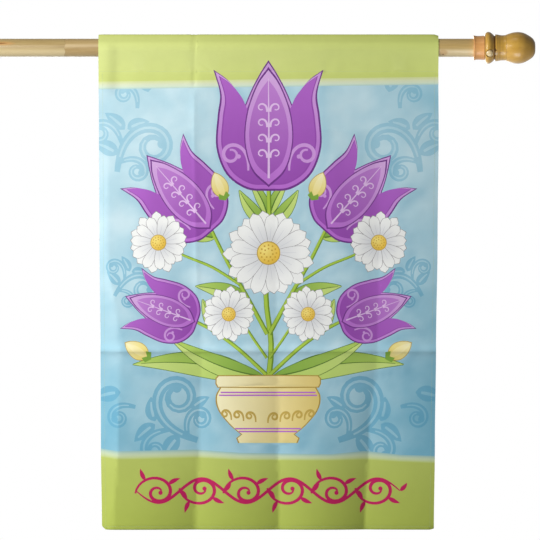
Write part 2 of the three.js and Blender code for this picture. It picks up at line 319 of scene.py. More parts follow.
def pole_material():
    """Three lengths of pine that differ in tone, their glue lines and two small knots, with painted light
    on the underside and a painted highlight band.
    """
    material, tree, output = new_material("pole_pine")
    place = node(tree, "ShaderNodeTexCoord").outputs["Object"]
    x, _, z = node(tree, "ShaderNodeSeparateXYZ", links={0: place}).outputs
    outer = grained(tree, (0, 0, 0), (173, 151, 101), (147, 120, 69), 52, 0.16)
    middle = grained(tree, (3.1, 0.4, 0.7), (178, 154, 105), (153, 123, 72), 52, 0.16)
    inner = grained(tree, (7.7, 1.3, 0.2), (204, 174, 112), (178, 143, 78), 52, 0.12)
    fingers = node(tree, "ShaderNodeMath", {1: 0.0085}, {0: z}, operation="PINGPONG").outputs[0]
    jointed = maths(tree, "SUBTRACT", x, maths(tree, "MULTIPLY", fingers, 0.32))
    past_first = ramp(tree, jointed, FIRST_JOINT - 0.0003, FIRST_JOINT + 0.0003)
    past_second = ramp(tree, jointed, SECOND_JOINT - 0.0003, SECOND_JOINT + 0.0003)
    # Painted light: the underside of each length is paler, as if lit from below.
    underside_light = ramp(tree, z, 0.0005, -0.0085)
    outer_wood = mixed(tree, maths(tree, "MULTIPLY", underside_light, 0.75), outer["Color"], linear(206, 188, 144))
    inner_wood = mixed(tree, maths(tree, "MULTIPLY", underside_light, 0.8), inner["Color"], linear(232, 212, 166))
    # A painted highlight: a paler band along the upper side of the middle length.
    painted_highlight_band = maths(tree, "MULTIPLY", ramp(tree, z, 0.0005, 0.003), ramp(tree, z, 0.0085, 0.005))
    middle_wood_and_highlight = mixed(tree, maths(tree, "MULTIPLY", painted_highlight_band, 0.35), middle["Color"],
                        linear(214, 192, 150))
    wood = mixed(tree, past_first, outer_wood, middle_wood_and_highlight)
    wood = mixed(tree, past_second, wood, inner_wood)
    for joint in (FIRST_JOINT, SECOND_JOINT):
        away = maths(tree, "ABSOLUTE", maths(tree, "SUBTRACT", jointed, joint), 0.0)
        wood = mixed(tree, maths(tree, "MULTIPLY", ramp(tree, away, 0.0007, 0.0002), 0.45), wood,
                     linear(128, 98, 52))
    wood = spotted(tree, wood, POLE_SPOTS)
    varnished(tree, output, wood, middle["Roughness"], middle["Height"], 0.35, 0.22)
    return material


pole = turn_on_lathe("wooden_pole", [
    (0, 0),
    (0, POLE_RADIUS - BUTT_CHAMFER),
    (BUTT_CHAMFER * 0.35, POLE_RADIUS - BUTT_CHAMFER * 0.35),
    (BUTT_CHAMFER, POLE_RADIUS),
    (pole_high.x, POLE_RADIUS),
    (pole_high.x, 0),
])
pole.data.materials.append(pole_material())
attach(pole, "root")
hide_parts("flag_pole")


# The collar: a turned ring of redder wood, slipped on the pole and glued against the finial, with a
# thin lip towards the flag.
BORE_RADIUS = 0.01935
collar_low, collar_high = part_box("finial_collar")
COLLAR_PROFILE = [(0, 0.0255), (0.0007, 0.0259), (0.0022, 0.0258), (0.0046, 0.0252),
                  (0.0075, 0.0249), (0.012, 0.0249), (0.017, 0.0251), (0.0222, 0.0256)]


def smooth_curve(points, steps):
    """A smooth line through points, with a number of steps from each to the next."""
    rows = np.array(points, float)
    padded = np.vstack([2 * rows[0] - rows[1], rows, 2 * rows[-1] - rows[-2]])
    t = (np.arange(steps) / steps)[:, None]
    spans = []
    for before, here, after, beyond in zip(padded, padded[1:], padded[2:], padded[3:]):
        spans.append(0.5 * (2 * here + (after - before) * t
                            + (2 * before - 5 * here + 4 * after - beyond) * t**2
                            + (3 * here - before - 3 * after + beyond) * t**3))
    return np.vstack([*spans, rows[-1:]])


def turned_wood(name, pale, dark, rings, ring_depth, coat, coat_roughness, finish=None):
    """Turned and varnished wood of one piece, with its grain along X, and marks added by a finish."""
    material, tree, output = new_material(name)
    made = grained(tree, (0.21 * len(name), 0.13, 0.31), pale, dark, rings, ring_depth)
    wood = finish(tree, made["Color"]) if finish else made["Color"]
    varnished(tree, output, wood, made["Roughness"], made["Height"], coat, coat_roughness)
    return material


outside = [(collar_low.x + along, radius) for along, radius in smooth_curve(COLLAR_PROFILE, 3)]
collar = turn_on_lathe("turned_collar", [
    *outside, (collar_high.x, BORE_RADIUS), (collar_low.x, BORE_RADIUS), outside[0]
])
collar.data.materials.append(
    turned_wood("collar_wood", (236, 176, 106), (216, 148, 80), 40, 0.2, 0.4, 0.2)
)
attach(collar, "root")
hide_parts("finial_collar")


# The finial: one piece of hardwood turned to a bead, a neck and a bulb, bored for the pole's end and
# given a glossy varnish. A seat for the peg and a small pin hole are drilled into it from the front.
SOCKET_DEPTH = 0.024
FINIAL_BEAD = [(0, 0.0259), (0.0016, 0.0293), (0.0046, 0.0324), (0.0088, 0.0334), (0.0134, 0.032),
               (0.0172, 0.0289), (0.0196, 0.0268)]
FINIAL_GROOVE = [(0.0203, 0.0252), (0.0212, 0.0249), (0.0219, 0.0258)]
FINIAL_NECK = [(0.0226, 0.0281), (0.027, 0.0279), (0.033, 0.0267), (0.0395, 0.0263), (0.0446, 0.0268)]
FINIAL_BULB = [(0.046, 0.0276), (0.052, 0.0297), (0.06, 0.032), (0.07, 0.0331), (0.079, 0.0321),
               (0.0854, 0.03), (0.092, 0.0265), (0.098, 0.0226), (0.1028, 0.0182), (0.1062, 0.012)]
PEG_ALONG = 0.0108
PEG_DROP = math.radians(24)
PEG_SEAT = {"radius": 0.0088, "floor": 0.0276}
PIN_HOLE = {"along": 0.0222, "drop": math.radians(12), "radius": 0.0027, "floor": 0.0222}
DRILL_TOP = 0.045
# The first two rings are painted shade, at the joint with the collar and in the groove; the rest are turned
# rings.
SHADE_AND_TURNED_RINGS = [
    {"along": 0.0006, "reach": 0.0018, "strength": 0.75},
    {"along": 0.0211, "reach": 0.0026, "strength": 0.85},
    {"along": 0.0268, "reach": 0.0011, "strength": 0.35},
    {"along": 0.032, "reach": 0.0012, "strength": 0.3},
    {"along": 0.0383, "reach": 0.001, "strength": 0.25},
    {"along": 0.0455, "reach": 0.0014, "strength": 0.35},
    {"along": 0.0975, "reach": 0.0009, "strength": 0.2},
    {"along": 0.1035, "reach": 0.0009, "strength": 0.25},
]
NECK_SPOTS = [
    {"at": (0.033, -0.0109), "reach": (0.005, 0.0014), "colour": (150, 88, 34), "strength": 0.55},
    {"at": (0.0456, -0.0099), "reach": (0.004, 0.0012), "colour": (150, 88, 34), "strength": 0.5},
]
finial_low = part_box("finial")[0]


def make_active(piece):
    """Makes a piece the one that Blender's tools work on."""
    bpy.ops.object.select_all(action="DESELECT")
    piece.select_set(True)
    bpy.context.view_layer.objects.active = piece


def out_of_the_front(drop):
    """The way out of the finial's front, dropped below the level by an angle."""
    return Vector((0, -math.cos(drop), -math.sin(drop)))


def drilled(piece, along, drop, radius, floor):
    """Drills a round hole towards the axis of a turned piece, down to a floor radius."""
    outwards = out_of_the_front(drop)
    bpy.ops.object.select_all(action="DESELECT")
    bpy.ops.mesh.primitive_cylinder_add(
        vertices=48,
        radius=radius,
        depth=DRILL_TOP - floor,
        location=Vector((finial_low.x + along, 0, 0)) + outwards * (floor + DRILL_TOP) / 2,
        rotation=outwards.to_track_quat("Z", "X").to_euler(),
    )
    bit = bpy.context.active_object
    cut = piece.modifiers.new("drill", "BOOLEAN")
    cut.operation = "DIFFERENCE"
    cut.object = bit
    bpy.context.view_layer.objects.active = piece
    bpy.ops.object.modifier_apply(modifier=cut.name)
    bpy.data.objects.remove(bit)


finial = turn_on_lathe("turned_finial", [
    (finial_low.x + along, radius) for along, radius in [
        (SOCKET_DEPTH, 0),
        (SOCKET_DEPTH, BORE_RADIUS),
        (0, BORE_RADIUS),
        *smooth_curve(FINIAL_BEAD, 4),
        *FINIAL_GROOVE,
        *smooth_curve(FINIAL_NECK, 4),
        *smooth_curve(FINIAL_BULB, 4),
        (0.1068, 0.0075),
        (0.107, 0),
    ]
])
drilled(finial, PEG_ALONG, PEG_DROP, **PEG_SEAT)
drilled(finial, **PIN_HOLE)
make_active(finial)
bpy.ops.object.shade_smooth_by_angle(angle=math.radians(30))


def finial_shade_and_marks(tree, wood):
    """Painted shade at the joint with the collar and in the groove, faint turned rings and the flecks on
    the neck.
    """
    place = node(tree, "ShaderNodeTexCoord").outputs["Object"]
    x = node(tree, "ShaderNodeSeparateXYZ", links={0: place}).outputs[0]
    for mark in SHADE_AND_TURNED_RINGS:
        away = maths(tree, "ABSOLUTE", maths(tree, "SUBTRACT", x, finial_low.x + mark["along"]), 0.0)
        line = ramp(tree, away, mark["reach"], mark["reach"] * 0.3)
        wood = mixed(tree, maths(tree, "MULTIPLY", line, mark["strength"]), wood, linear(118, 78, 24))
    return spotted(tree, wood, [
        {**spot, "at": (finial_low.x + spot["at"][0], spot["at"][1])} for spot in NECK_SPOTS
    ])


finial.data.materials.append(
    turned_wood("finial_wood", (208, 162, 64), (186, 138, 44), 26, 0.1, 0.7, 0.14, finial_shade_and_marks)
)
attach(finial, "root")
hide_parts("finial")


# The peg: a small round-headed button of pale wood, turned and varnished. Its stem is glued into the
# finial's bead, and its brim sits in the drilled seat.
PEG_HEAD = {"radius": 0.0074, "foot": 0.0279, "brim": 0.0306, "top": 0.0352}
PEG_STEM = {"radius": 0.0034, "foot": 0.0265}
dome = [(PEG_HEAD["brim"] + (PEG_HEAD["top"] - PEG_HEAD["brim"]) * math.sin(lift),
         PEG_HEAD["radius"] * math.cos(lift)) for lift in np.linspace(0, math.pi / 2, 9)[:-1]]
peg = turn_on_lathe("round_peg", [
    (PEG_STEM["foot"], 0),
    (PEG_STEM["foot"], PEG_STEM["radius"]),
    (PEG_HEAD["foot"], PEG_STEM["radius"]),
    (PEG_HEAD["foot"], PEG_HEAD["radius"] * 0.92),
    (PEG_HEAD["foot"] + 0.0006, PEG_HEAD["radius"]),
    *dome,
    (PEG_HEAD["top"], 0),
], 40)
peg.rotation_euler = Vector((1, 0, 0)).rotation_difference(out_of_the_front(PEG_DROP)).to_euler()
peg.location = (finial_low.x + PEG_ALONG, 0, 0)
bpy.ops.object.transform_apply(location=True, rotation=True, scale=True)
peg.data.materials.append(
    turned_wood("peg_wood", (226, 204, 154), (200, 166, 108), 70, 0.15, 0.7, 0.14)
)
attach(peg, "root")
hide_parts("finial_peg")


# The flag: one light polyester cloth, printed on its face, with its top folded back and stitched down
# as a sleeve. It hangs with the creases of its packet. It is drawn flat in millimetres, across from its
# left edge and down from the sleeve's crest, less than 0 being over the back, and is hung in metres.
MM = 0.001
WIDTH = 711.4
LEFT = 506.7
SLEEVE_RADIUS = 20.05
SLEEVE_CREST = 29.0
CREST_FILLET = 2.4
STITCH_Z = -48.5
HEM_Z = -1011.3
SEAM_ALLOWANCE = 8.0
LAYER_GAP = 0.5
POLE_CLEAR = 19.7
HEM_ROLL = 2.4
CORNER_WIDTH = 10.0
CORNER_RISE = {"left": 9.0, "right": 2.5}
CORNER_HEIGHT = 14.0
CREST_DROP = {"left": 0.6, "right": 3.0}
CREST_REACH = 16.0
PUCKER_HEIGHT = 0.16
PUCKER_REACH = 12.0
WAVER_HEIGHT = 0.5
CLOTH_THICKNESS = 0.4
GRID = 8.0
PANEL = STITCH_Z - HEM_Z

STATIONS = np.array([0, 0.128, 0.369, 0.611, 0.805, 1])
DRAWN_IN = {"left": [0, 0.9, 2.1, 4.3, 4.9, 7.1], "right": [-0.7, -1.3, 0.9, 4.2, 6.4, 8.6]}
FOLD_LINES = [
    {"across": [0, 0, 0, 0, 0, 0], "behind": [0, 1, 3, 4, 5, 6], "bulge": [0, 0, 0, 0, 0, 0]},
    {"across": [0.05, 0.03, 0.022, 0.057, 0.052, 0.034], "behind": [0, 0, -1, -4, -7, -4],
     "bulge": [0, -1, -1, 1.5, 2, 7]},
    {"across": [0.287, 0.279, 0.282, 0.301, 0.293, 0.281], "behind": [0, -3, -4, 2, 8, 10],
     "bulge": [0, -1, 0, 4, 7, 12]},
    {"across": [0.515, 0.515, 0.52, 0.528, 0.531, 0.532], "behind": [0, 1, 2, 3, 6, 8],
     "bulge": [0, 1, 2, 5.5, 11, 15]},
    {"across": [0.8, 0.81, 0.826, 0.825, 0.802, 0.791], "behind": [0, 0, 3, 6, 10, 14],
     "bulge": [0, 1, 1, 2, 3, 4]},
    {"across": [1, 1, 1, 1, 1, 1], "behind": [0, 1, 2, 4, 3, 3], "bulge": [0, 0, 0, 0, 0, 0]},
]
LEVEL_CREASES = [
    {"share": 0.128, "forward": 0.8, "above": 0.05, "below_left": 0.05, "below_right": 0.05},
    {"share": 0.611, "forward": 6.5, "above": 0.03, "below_left": 0.16, "below_right": 0.05},
]


def eased(value):
    """A value held between 0 and 1, with a gentle start and end."""
    value = np.clip(value, 0, 1)
    return value * value * (3 - 2 * value)


def at_share(values, share):
    """A fold table's value at a share of the way down, eased from one station to the next."""
    values = np.array(values, float)
    above = np.clip(np.searchsorted(STATIONS, share, side="right") - 1, 0, len(STATIONS) - 2)
    t = (share - STATIONS[above]) / (STATIONS[above + 1] - STATIONS[above])
    return values[above] + (values[above + 1] - values[above]) * eased(t)


def sleeve_path():
    """Half of the sleeve's section, from its crest to the stitching: its length, depth and height."""
    off_crest = math.acos(SLEEVE_RADIUS / SLEEVE_CREST)
    off_stitch = math.pi - math.acos(SLEEVE_RADIUS / -STITCH_Z)
    crest_turn = np.linspace(0, off_crest, 6)
    pole_turn = np.linspace(off_crest, off_stitch, 15)
    fillet_z = SLEEVE_CREST - CREST_FILLET / math.cos(off_crest)
    depth = [*(CREST_FILLET * np.sin(crest_turn)), *(SLEEVE_RADIUS * np.sin(pole_turn)), 0]
    height = [*(fillet_z + CREST_FILLET * np.cos(crest_turn)), *(SLEEVE_RADIUS * np.cos(pole_turn)),
              STITCH_Z]
    length = np.concatenate([[0], np.cumsum(np.hypot(np.diff(depth), np.diff(height)))])
    return length, np.array(depth), np.array(height)


sleeve_length, sleeve_depth, sleeve_height = sleeve_path()
STITCH_DOWN = sleeve_length[-1]
HEM_DOWN = STITCH_DOWN + PANEL
FLAP_DOWN = -STITCH_DOWN - SEAM_ALLOWANCE

# Small creases and dimples, by their ends on the flat cloth: forward is towards the viewer, and the
# widths are those of the two flanks, the left or upper one first.
PRESSED_DOWN = 675
SMALL_CREASES = [
    {"start": (202, 2), "end": (200, 118), "forward": 0.55, "widths": (15, 15)},
    {"start": (202, 2), "end": (200, 118), "forward": -0.9, "widths": (6, 6)},
    {"start": (199, 140), "end": (206, 600), "forward": 0.6, "widths": (6, 6)},
    {"start": (WIDTH, 9), "end": (0, 9), "forward": -0.25, "widths": (3, 3)},
    {"start": (WIDTH, PRESSED_DOWN), "end": (0, PRESSED_DOWN), "forward": 3.0, "widths": (7.5, 4.6)},
    {"start": (WIDTH, 212), "end": (0, 212), "forward": 0.35, "widths": (5, 5)},
    {"start": (22, 44), "end": (16, 124), "forward": 1.7, "widths": (15, 15)},
    {"start": (46, 40), "end": (42, 120), "forward": -1.3, "widths": (20, 20)},
    {"start": (470, 150), "end": (500, 420), "forward": 1.2, "widths": (30, 30)},
    {"start": (90, 300), "end": (150, 560), "forward": 1.0, "widths": (28, 28)},
    {"start": (600, 250), "end": (560, 600), "forward": -1.0, "widths": (32, 32)},
    {"start": (300, 420), "end": (330, 600), "forward": -0.8, "widths": (26, 26)},
]


def relief(across, down):
    """How far the cloth stands forward: small creases, puckers by the stitching and a slow waver."""
    forward = np.zeros_like(across)
    for crease in SMALL_CREASES:
        start, end = np.array(crease["start"], float), np.array(crease["end"], float)
        run = end - start
        t = np.clip(((across - start[0]) * run[0] + (down - start[1]) * run[1]) / (run @ run), 0, 1)
        off_across, off_down = across - start[0] - t * run[0], down - start[1] - t * run[1]
        left_of = off_across * run[1] - off_down * run[0] < 0
        width = np.where(left_of, *crease["widths"])
        forward += crease["forward"] * np.exp(-(np.hypot(off_across, off_down) / width) ** 2)
    ripple = np.sin(across / 4.1 + 1.7 * np.sin(across / 31)) + 0.6 * np.sin(across / 7.3 + 2)
    forward += PUCKER_HEIGHT * ripple * np.exp(-np.abs(down - STITCH_DOWN) / PUCKER_REACH)
    forward += WAVER_HEIGHT * np.sin(across / 47 + down / 90) * np.sin(down / 61 - across / 120)
    return forward


def panel_depth(u, share):
    """How far the hanging cloth lies behind the flag's plane, at a share across and a share down."""
    lines = np.array([at_share(line["across"], share) for line in FOLD_LINES])
    behind = np.array([at_share(line["behind"], share) for line in FOLD_LINES])
    bulge = np.array([at_share(line["bulge"], share) for line in FOLD_LINES])
    here = np.clip((u[None, :] >= lines).sum(0) - 1, 0, len(FOLD_LINES) - 2)
    column = np.arange(len(u))
    part = (u - lines[here, column]) / (lines[here + 1, column] - lines[here, column])
    depth = behind[here, column] * (1 - part) + behind[here + 1, column] * part
    depth -= 4 * part * (1 - part) * bulge[here, column]
    for crease in LEVEL_CREASES:
        below = crease["below_left"] + (crease["below_right"] - crease["below_left"]) * u
        reach = np.where(share < crease["share"], crease["above"], below)
        depth -= crease["forward"] * np.exp(-np.abs(share - crease["share"]) / reach)
    return depth


def hang(across, down):
    """Where points of the flat cloth hang, in metres."""
    across, down = np.asarray(across, float), np.asarray(down, float)
    u = across / WIDTH
    over = np.abs(down)
    share = np.clip((over - STITCH_DOWN) / PANEL, 0, 1)
    hung = over > STITCH_DOWN
    behind = down < 0
    z = np.where(hung, STITCH_Z - share * PANEL, np.interp(over, sleeve_length, sleeve_height))
    y = np.where(hung, panel_depth(u, share), -np.interp(over, sleeve_length, sleeve_depth))
    forward = relief(across, over)
    clear_of_pole = -np.sqrt(np.maximum(0, POLE_CLEAR**2 - z**2))
    front = np.minimum(y - forward, clear_of_pole)
    near_seam = (np.minimum(over, STITCH_DOWN) / STITCH_DOWN) ** 6
    back = np.maximum(-y - forward * near_seam, -clear_of_pole) + LAYER_GAP * near_seam
    y = np.where(hung, y - forward + LAYER_GAP * behind, np.where(behind, back, front))
    roll = np.maximum(0, down - HEM_DOWN + HEM_ROLL * math.pi / 2) / HEM_ROLL
    y = y + HEM_ROLL * (1 - np.cos(roll))
    z = z + HEM_ROLL * (roll - np.sin(roll))
    for side, from_edge in (("left", across), ("right", WIDTH - across)):
        corner = np.clip(1 - from_edge / CORNER_WIDTH, 0, 1) ** 2
        z = z + CORNER_RISE[side] * corner * np.clip(1 - (HEM_DOWN - down) / CORNER_HEIGHT, 0, 1) ** 2
        z = z - CREST_DROP[side] * corner * np.clip(1 - over / CREST_REACH, 0, 1)
    left_in, right_in = (at_share(DRAWN_IN[side], share) for side in ("left", "right"))
    x = LEFT + left_in + u * (WIDTH - left_in - right_in)
    return np.stack([x, y, z], 1) * MM


# The print. Plain green bands and cream lines cross the cloth above and below a pale blue ground, and
# between them stand a pot of tulips and daisies, over scrolls in two tones of the ground's blue. All
# of it is drawn with shapes on the flat cloth, the later ones over the earlier.
MIDDLE = WIDTH / 2
# Painted shade and light in the upper band's inks: darker over the crest, lighter over the sleeve's lower
# part and the seam, darker below it.
UPPER_BAND_AND_SHADE = [
    {"down": 0, "ink": (200, 209, 118)},
    {"down": 5, "ink": (208, 217, 124)},
    {"down": 11, "ink": (217, 226, 134)},
    {"down": 36, "ink": (214, 223, 139)},
    {"down": 47, "ink": (224, 233, 149)},
    {"down": 84, "ink": (224, 233, 149)},
    {"down": 93, "ink": (209, 219, 131)},
    {"down": 130, "ink": (205, 215, 126)},
]
BAND_TO_RIGHT = (-2, 0, -11)
GREEN_BELOW = (188, 201, 101)
GREEN_FOOT = (176, 191, 82)
GROUND_LIGHT = (207, 233, 241)
GROUND_DEEP = (122, 183, 206)
SCROLL_DEEP = (88, 162, 195)
SCROLL_LIGHT = (150, 200, 220)
UPPER_LINE = [
    {"across": 0, "top": 110.4, "foot": 126.8},
    {"across": 711.4, "top": 100.4, "foot": 116.9},
]
LOWER_LINE = [
    {"across": 0, "top": 879.4, "foot": 897.2},
    {"across": 36, "top": 884.9, "foot": 902.6},
    {"across": 200, "top": 881.8, "foot": 899.2},
    {"across": 297, "top": 888.4, "foot": 903.8},
    {"across": 386, "top": 890.0, "foot": 904.6},
    {"across": 490, "top": 891.1, "foot": 904.6},
    {"across": 562, "top": 884.7, "foot": 903.0},
    {"across": 639, "top": 892.9, "foot": 907.5},
    {"across": 711.4, "top": 895.1, "foot": 910.5},
]
LINE_SHARES = [0, 0.28, 0.5, 0.75, 1]
UPPER_INKS = [(214, 223, 150), (222, 229, 182), (221, 230, 199), (217, 232, 206), (188, 217, 212)]
LOWER_INKS = [(152, 194, 196), (190, 212, 187), (203, 219, 182), (202, 216, 158), (192, 207, 112)]

shapes = []


def colour(value):
    """A colour that can be reckoned with."""
    return np.array(value, float)


def blend(first, second, share):
    """Colours between two, by an array of shares."""
    share = np.clip(share, 0, 1)[:, None]
    return colour(first) * (1 - share) + colour(second) * share


def fade(start, end, first, second):
    """Paint that changes from a first colour at one point to a second colour at another."""
    start, end = np.array(start, float), np.array(end, float)
    run = end - start
    return lambda points: blend(first, second, (points - start) @ run / (run @ run))


def halo(centre, reach, first, second):
    """Paint that changes from a first colour at a centre to a second at a reach from it."""
    return lambda points: blend(first, second, np.hypot(*(points - np.array(centre)).T) / reach)


def draw(outline, paint, casts=False):
    """Adds a closed shape to the print. A shape that casts throws a soft shadow on the ground."""
    shapes.append({"outline": np.array(outline, float), "paint": paint, "casts": casts})


def placed(points, at, turn=0.0, size=1.0, side=1):
    """A motif's points, drawn upright with y up, set on the cloth: turned clockwise and sized."""
    x, y = np.array(points, float).T * size
    right = x * math.cos(turn) + y * math.sin(turn)
    up = y * math.cos(turn) - x * math.sin(turn)
    return np.stack([MIDDLE + side * (at[0] + right), at[1] - up], 1)


def stamp(outline, where, paint, casts=False):
    """Draws a motif's outline where it stands."""
    draw(placed(outline, **where), paint, casts)


def ribbon(line, half_widths):
    """The outline of a stroke along a line, from its half width at each point."""
    along = np.gradient(np.array(line, float), axis=0)
    along /= np.hypot(*along.T)[:, None]
    aside = np.stack([-along[:, 1], along[:, 0]], 1) * np.array(half_widths, float)[:, None]
    return np.vstack([line + aside, (line - aside)[::-1]])


def scroll(length, turn, tightening=1.9, steps=32):
    """A line that starts upwards and curls in to the right, the more so towards its end."""
    t = np.linspace(0, 1, steps)
    heading = turn * t**tightening
    step = length / (steps - 1)
    middle = (heading[1:] + heading[:-1]) / 2
    x = np.concatenate([[0], np.cumsum(np.sin(middle))]) * step
    y = np.concatenate([[0], np.cumsum(np.cos(middle))]) * step
    return np.stack([x, y], 1)


def disc(radius, steps=16):
    """A circle about its middle."""
    turn = np.arange(steps) / steps * math.tau
    return radius * np.stack([np.cos(turn), np.sin(turn)], 1)


def leaf_line(length, bend, steps=11):
    """A leaf's midrib, upwards and bending to the right."""
    t = np.linspace(0, 1, steps)
    return np.stack([bend * t * t, length * t], 1)


def leaf_widths(half_width, steps=11):
    """A leaf's half widths along its midrib."""
    t = np.linspace(0, 1, steps)
    return half_width * np.sin(math.pi * t**0.8) ** 0.9 + 0.05


def line_rows(table, column):
    """A printed line's places across and one edge's places down, from its table."""
    return [row["across"] for row in table], [row[column] for row in table]


def line_share(points, table):
    """How far points lie down through a printed line: 0 at its top and 1 at its foot."""
    top = np.interp(points[:, 0], *line_rows(table, "top"))
    foot = np.interp(points[:, 0], *line_rows(table, "foot"))
    return (points[:, 1] - top) / (foot - top)


def line_paint(table, inks):
    """Paint for a line with soft edges, from its inks at the shares down through it."""
    return lambda points: np.stack(
        [np.interp(line_share(points, table), LINE_SHARES, channel) for channel in zip(*inks)], 1
    )


def upper_band_and_shade_paint(points):
    """The upper green band: painted shade over the crest and below the seam, painted light over the
    sleeve's lower part and the seam, and a little deeper to the right.
    """
    stops = [row["down"] for row in UPPER_BAND_AND_SHADE]
    channels = zip(*(row["ink"] for row in UPPER_BAND_AND_SHADE))
    inks = np.stack([np.interp(points[:, 1], stops, channel) for channel in channels], 1)
    return inks + points[:, :1] / WIDTH * BAND_TO_RIGHT


def ground_paint(points):
    """The blue ground: light in the middle, deeper at the foot, the sides and the right, partly printed
    tone and partly painted shade, washed on unevenly.
    """
    x, y = points.T
    to_side = np.abs(2 * x / WIDTH - 1) ** 3
    high, low, low_side = eased((260 - y) / 150), eased((y - 590) / 300), eased((y - 330) / 380)
    wash = np.array([noise.fractal((a / 64, b / 64, 0), 0.9, 2.0, 4) for a, b in points])
    # The deepening towards the foot, the sides and the right is partly painted shade.
    deep = 0.06 + 0.1 * x / WIDTH + 0.1 * to_side + high * (0.05 + 0.3 * to_side * x / WIDTH)
    deep += 0.42 * low + low_side * to_side * (0.34 + 0.1 * x / WIDTH)
    return blend(GROUND_LIGHT, GROUND_DEEP, deep + 0.2 * wash)


def scroll_paint(points):
    """The scrolls on the ground, a deeper tone of it, more so towards the foot."""
    share = (0.3 + 0.25 * np.clip((points[:, 1] - 250) / 550, 0, 1))[:, None]
    return ground_paint(points) * (1 - share) + colour(SCROLL_DEEP) * share


def scroll_light(points):
    """The light line along the middle of a scroll."""
    return ground_paint(points) * 0.8 + colour(SCROLL_LIGHT) * 0.2


SPRAYS = [
    {"at": (-318, 300), "turn": 8, "size": 0.92},
    {"at": (-150, 862), "turn": -72, "size": 0.98},
    {"at": (-325, 560), "turn": 30, "size": 0.62},
]
SPRAY_SCROLLS = [
    {"root": (0, 0), "turn": 0, "length": 360, "curl": 9.0, "width": 11.5},
    {"root": (2, 66), "turn": -26, "length": 190, "curl": -8.6, "width": 8.5},
    {"root": (26, 150), "turn": -4, "length": 150, "curl": -8.4, "width": 7.5},
    {"root": (-2, 20), "turn": 58, "length": 170, "curl": 8.6, "width": 8.0},
]
SPRAY_LEAVES = [
    {"root": (-3, 40), "turn": -60, "length": 62, "half_width": 17, "bend": -14},
    {"root": (4, 98), "turn": -48, "length": 58, "half_width": 15, "bend": -10},
    {"root": (10, 100), "turn": 50, "length": 52, "half_width": 15, "bend": 12},
    {"root": (46, 190), "turn": -20, "length": 60, "half_width": 17, "bend": -12},
    {"root": (60, 34), "turn": 118, "length": 46, "half_width": 12, "bend": 10},
]


def turned_in_place(points, root, turn):
    """A motif's points, turned clockwise by degrees and moved to a root."""
    x, y = np.array(points, float).T
    c, s = math.cos(math.radians(turn)), math.sin(math.radians(turn))
    return np.stack([root[0] + x * c + y * s, root[1] + y * c - x * s], 1)


def standing(row, side):
    """Where a motif stands on the cloth, from its row in a table."""
    return {"at": row["at"], "turn": math.radians(row["turn"]), "size": row["size"], "side": side}


def draw_leaf(leaf, where):
    """One leaf of a spray and its light midrib."""
    line = leaf_line(leaf["length"], leaf["bend"])
    blade = ribbon(line, leaf_widths(leaf["half_width"]))
    rib = ribbon(line[2:-2], leaf_widths(leaf["half_width"] * 0.2)[2:-2])
    for outline, paint in ((blade, scroll_paint), (rib, scroll_light)):
        stamp(turned_in_place(outline, leaf["root"], leaf["turn"]), where, paint)


def draw_curl(curl, where):
    """One scroll of a spray, its light line and the knob at its end."""
    line = scroll(curl["length"], curl["curl"])
    t = np.linspace(0, 1, len(line))
    widths = curl["width"] * (0.28 + 0.72 * np.sin(math.pi * (0.12 + 0.82 * t)))
    stroke, light = ribbon(line, widths), ribbon(line[3:-4], widths[3:-4] * 0.25)
    knob = disc(curl["width"] * 0.95) + line[-1]
    for outline, paint in ((stroke, scroll_paint), (light, scroll_light), (knob, scroll_paint)):
        stamp(turned_in_place(outline, curl["root"], curl["turn"]), where, paint)


for spray in SPRAYS:
    for side in (1, -1):
        for leaf in SPRAY_LEAVES:
            draw_leaf(leaf, standing(spray, side))
        for curl in SPRAY_SCROLLS:
            draw_curl(curl, standing(spray, side))


# The plant: green stems that branch up from the pot, each in two tones, and long pointed leaves with a
# light upper half and a dark midrib.
STEM_DARK = (112, 146, 40)
STEM_LIGHT = (172, 204, 72)
LEAF_EDGE = (86, 122, 44)
LEAF_DARK = (126, 168, 62)
LEAF_LIGHT = (186, 214, 104)
LEAF_TIP = (206, 226, 134)
STEMS = [
    {"through": [(0, 745), (6, 660), (-5, 560), (2, 440), (0, 330)], "half_width": 6.5, "sides": (1,)},
    {"through": [(2, 640), (46, 560), (86, 490), (122, 418)], "half_width": 5.0, "sides": (1, -1)},
    {"through": [(4, 725), (62, 672), (112, 636), (156, 612)], "half_width": 4.6, "sides": (1, -1)},
    {"through": [(60, 536), (118, 500), (176, 476), (224, 452)], "half_width": 3.4, "sides": (1, -1)},
    {"through": [(3, 690), (38, 640), (62, 600), (74, 566)], "half_width": 3.2, "sides": (1, -1)},
]
LEAVES = [
    {"root": (18, 738), "turn": 66, "length": 260, "half_width": 26, "bend": 78},
    {"root": (10, 728), "turn": 84, "length": 205, "half_width": 20, "bend": -58},
    {"root": (38, 572), "turn": 62, "length": 118, "half_width": 17, "bend": 26},
    {"root": (3, 412), "turn": 52, "length": 92, "half_width": 14, "bend": -22},
    {"root": (2, 392), "turn": 14, "length": 84, "half_width": 11, "bend": 20},
    {"root": (112, 438), "turn": 84, "length": 96, "half_width": 14, "bend": -20},
    {"root": (98, 644), "turn": 40, "length": 86, "half_width": 14, "bend": -18},
]
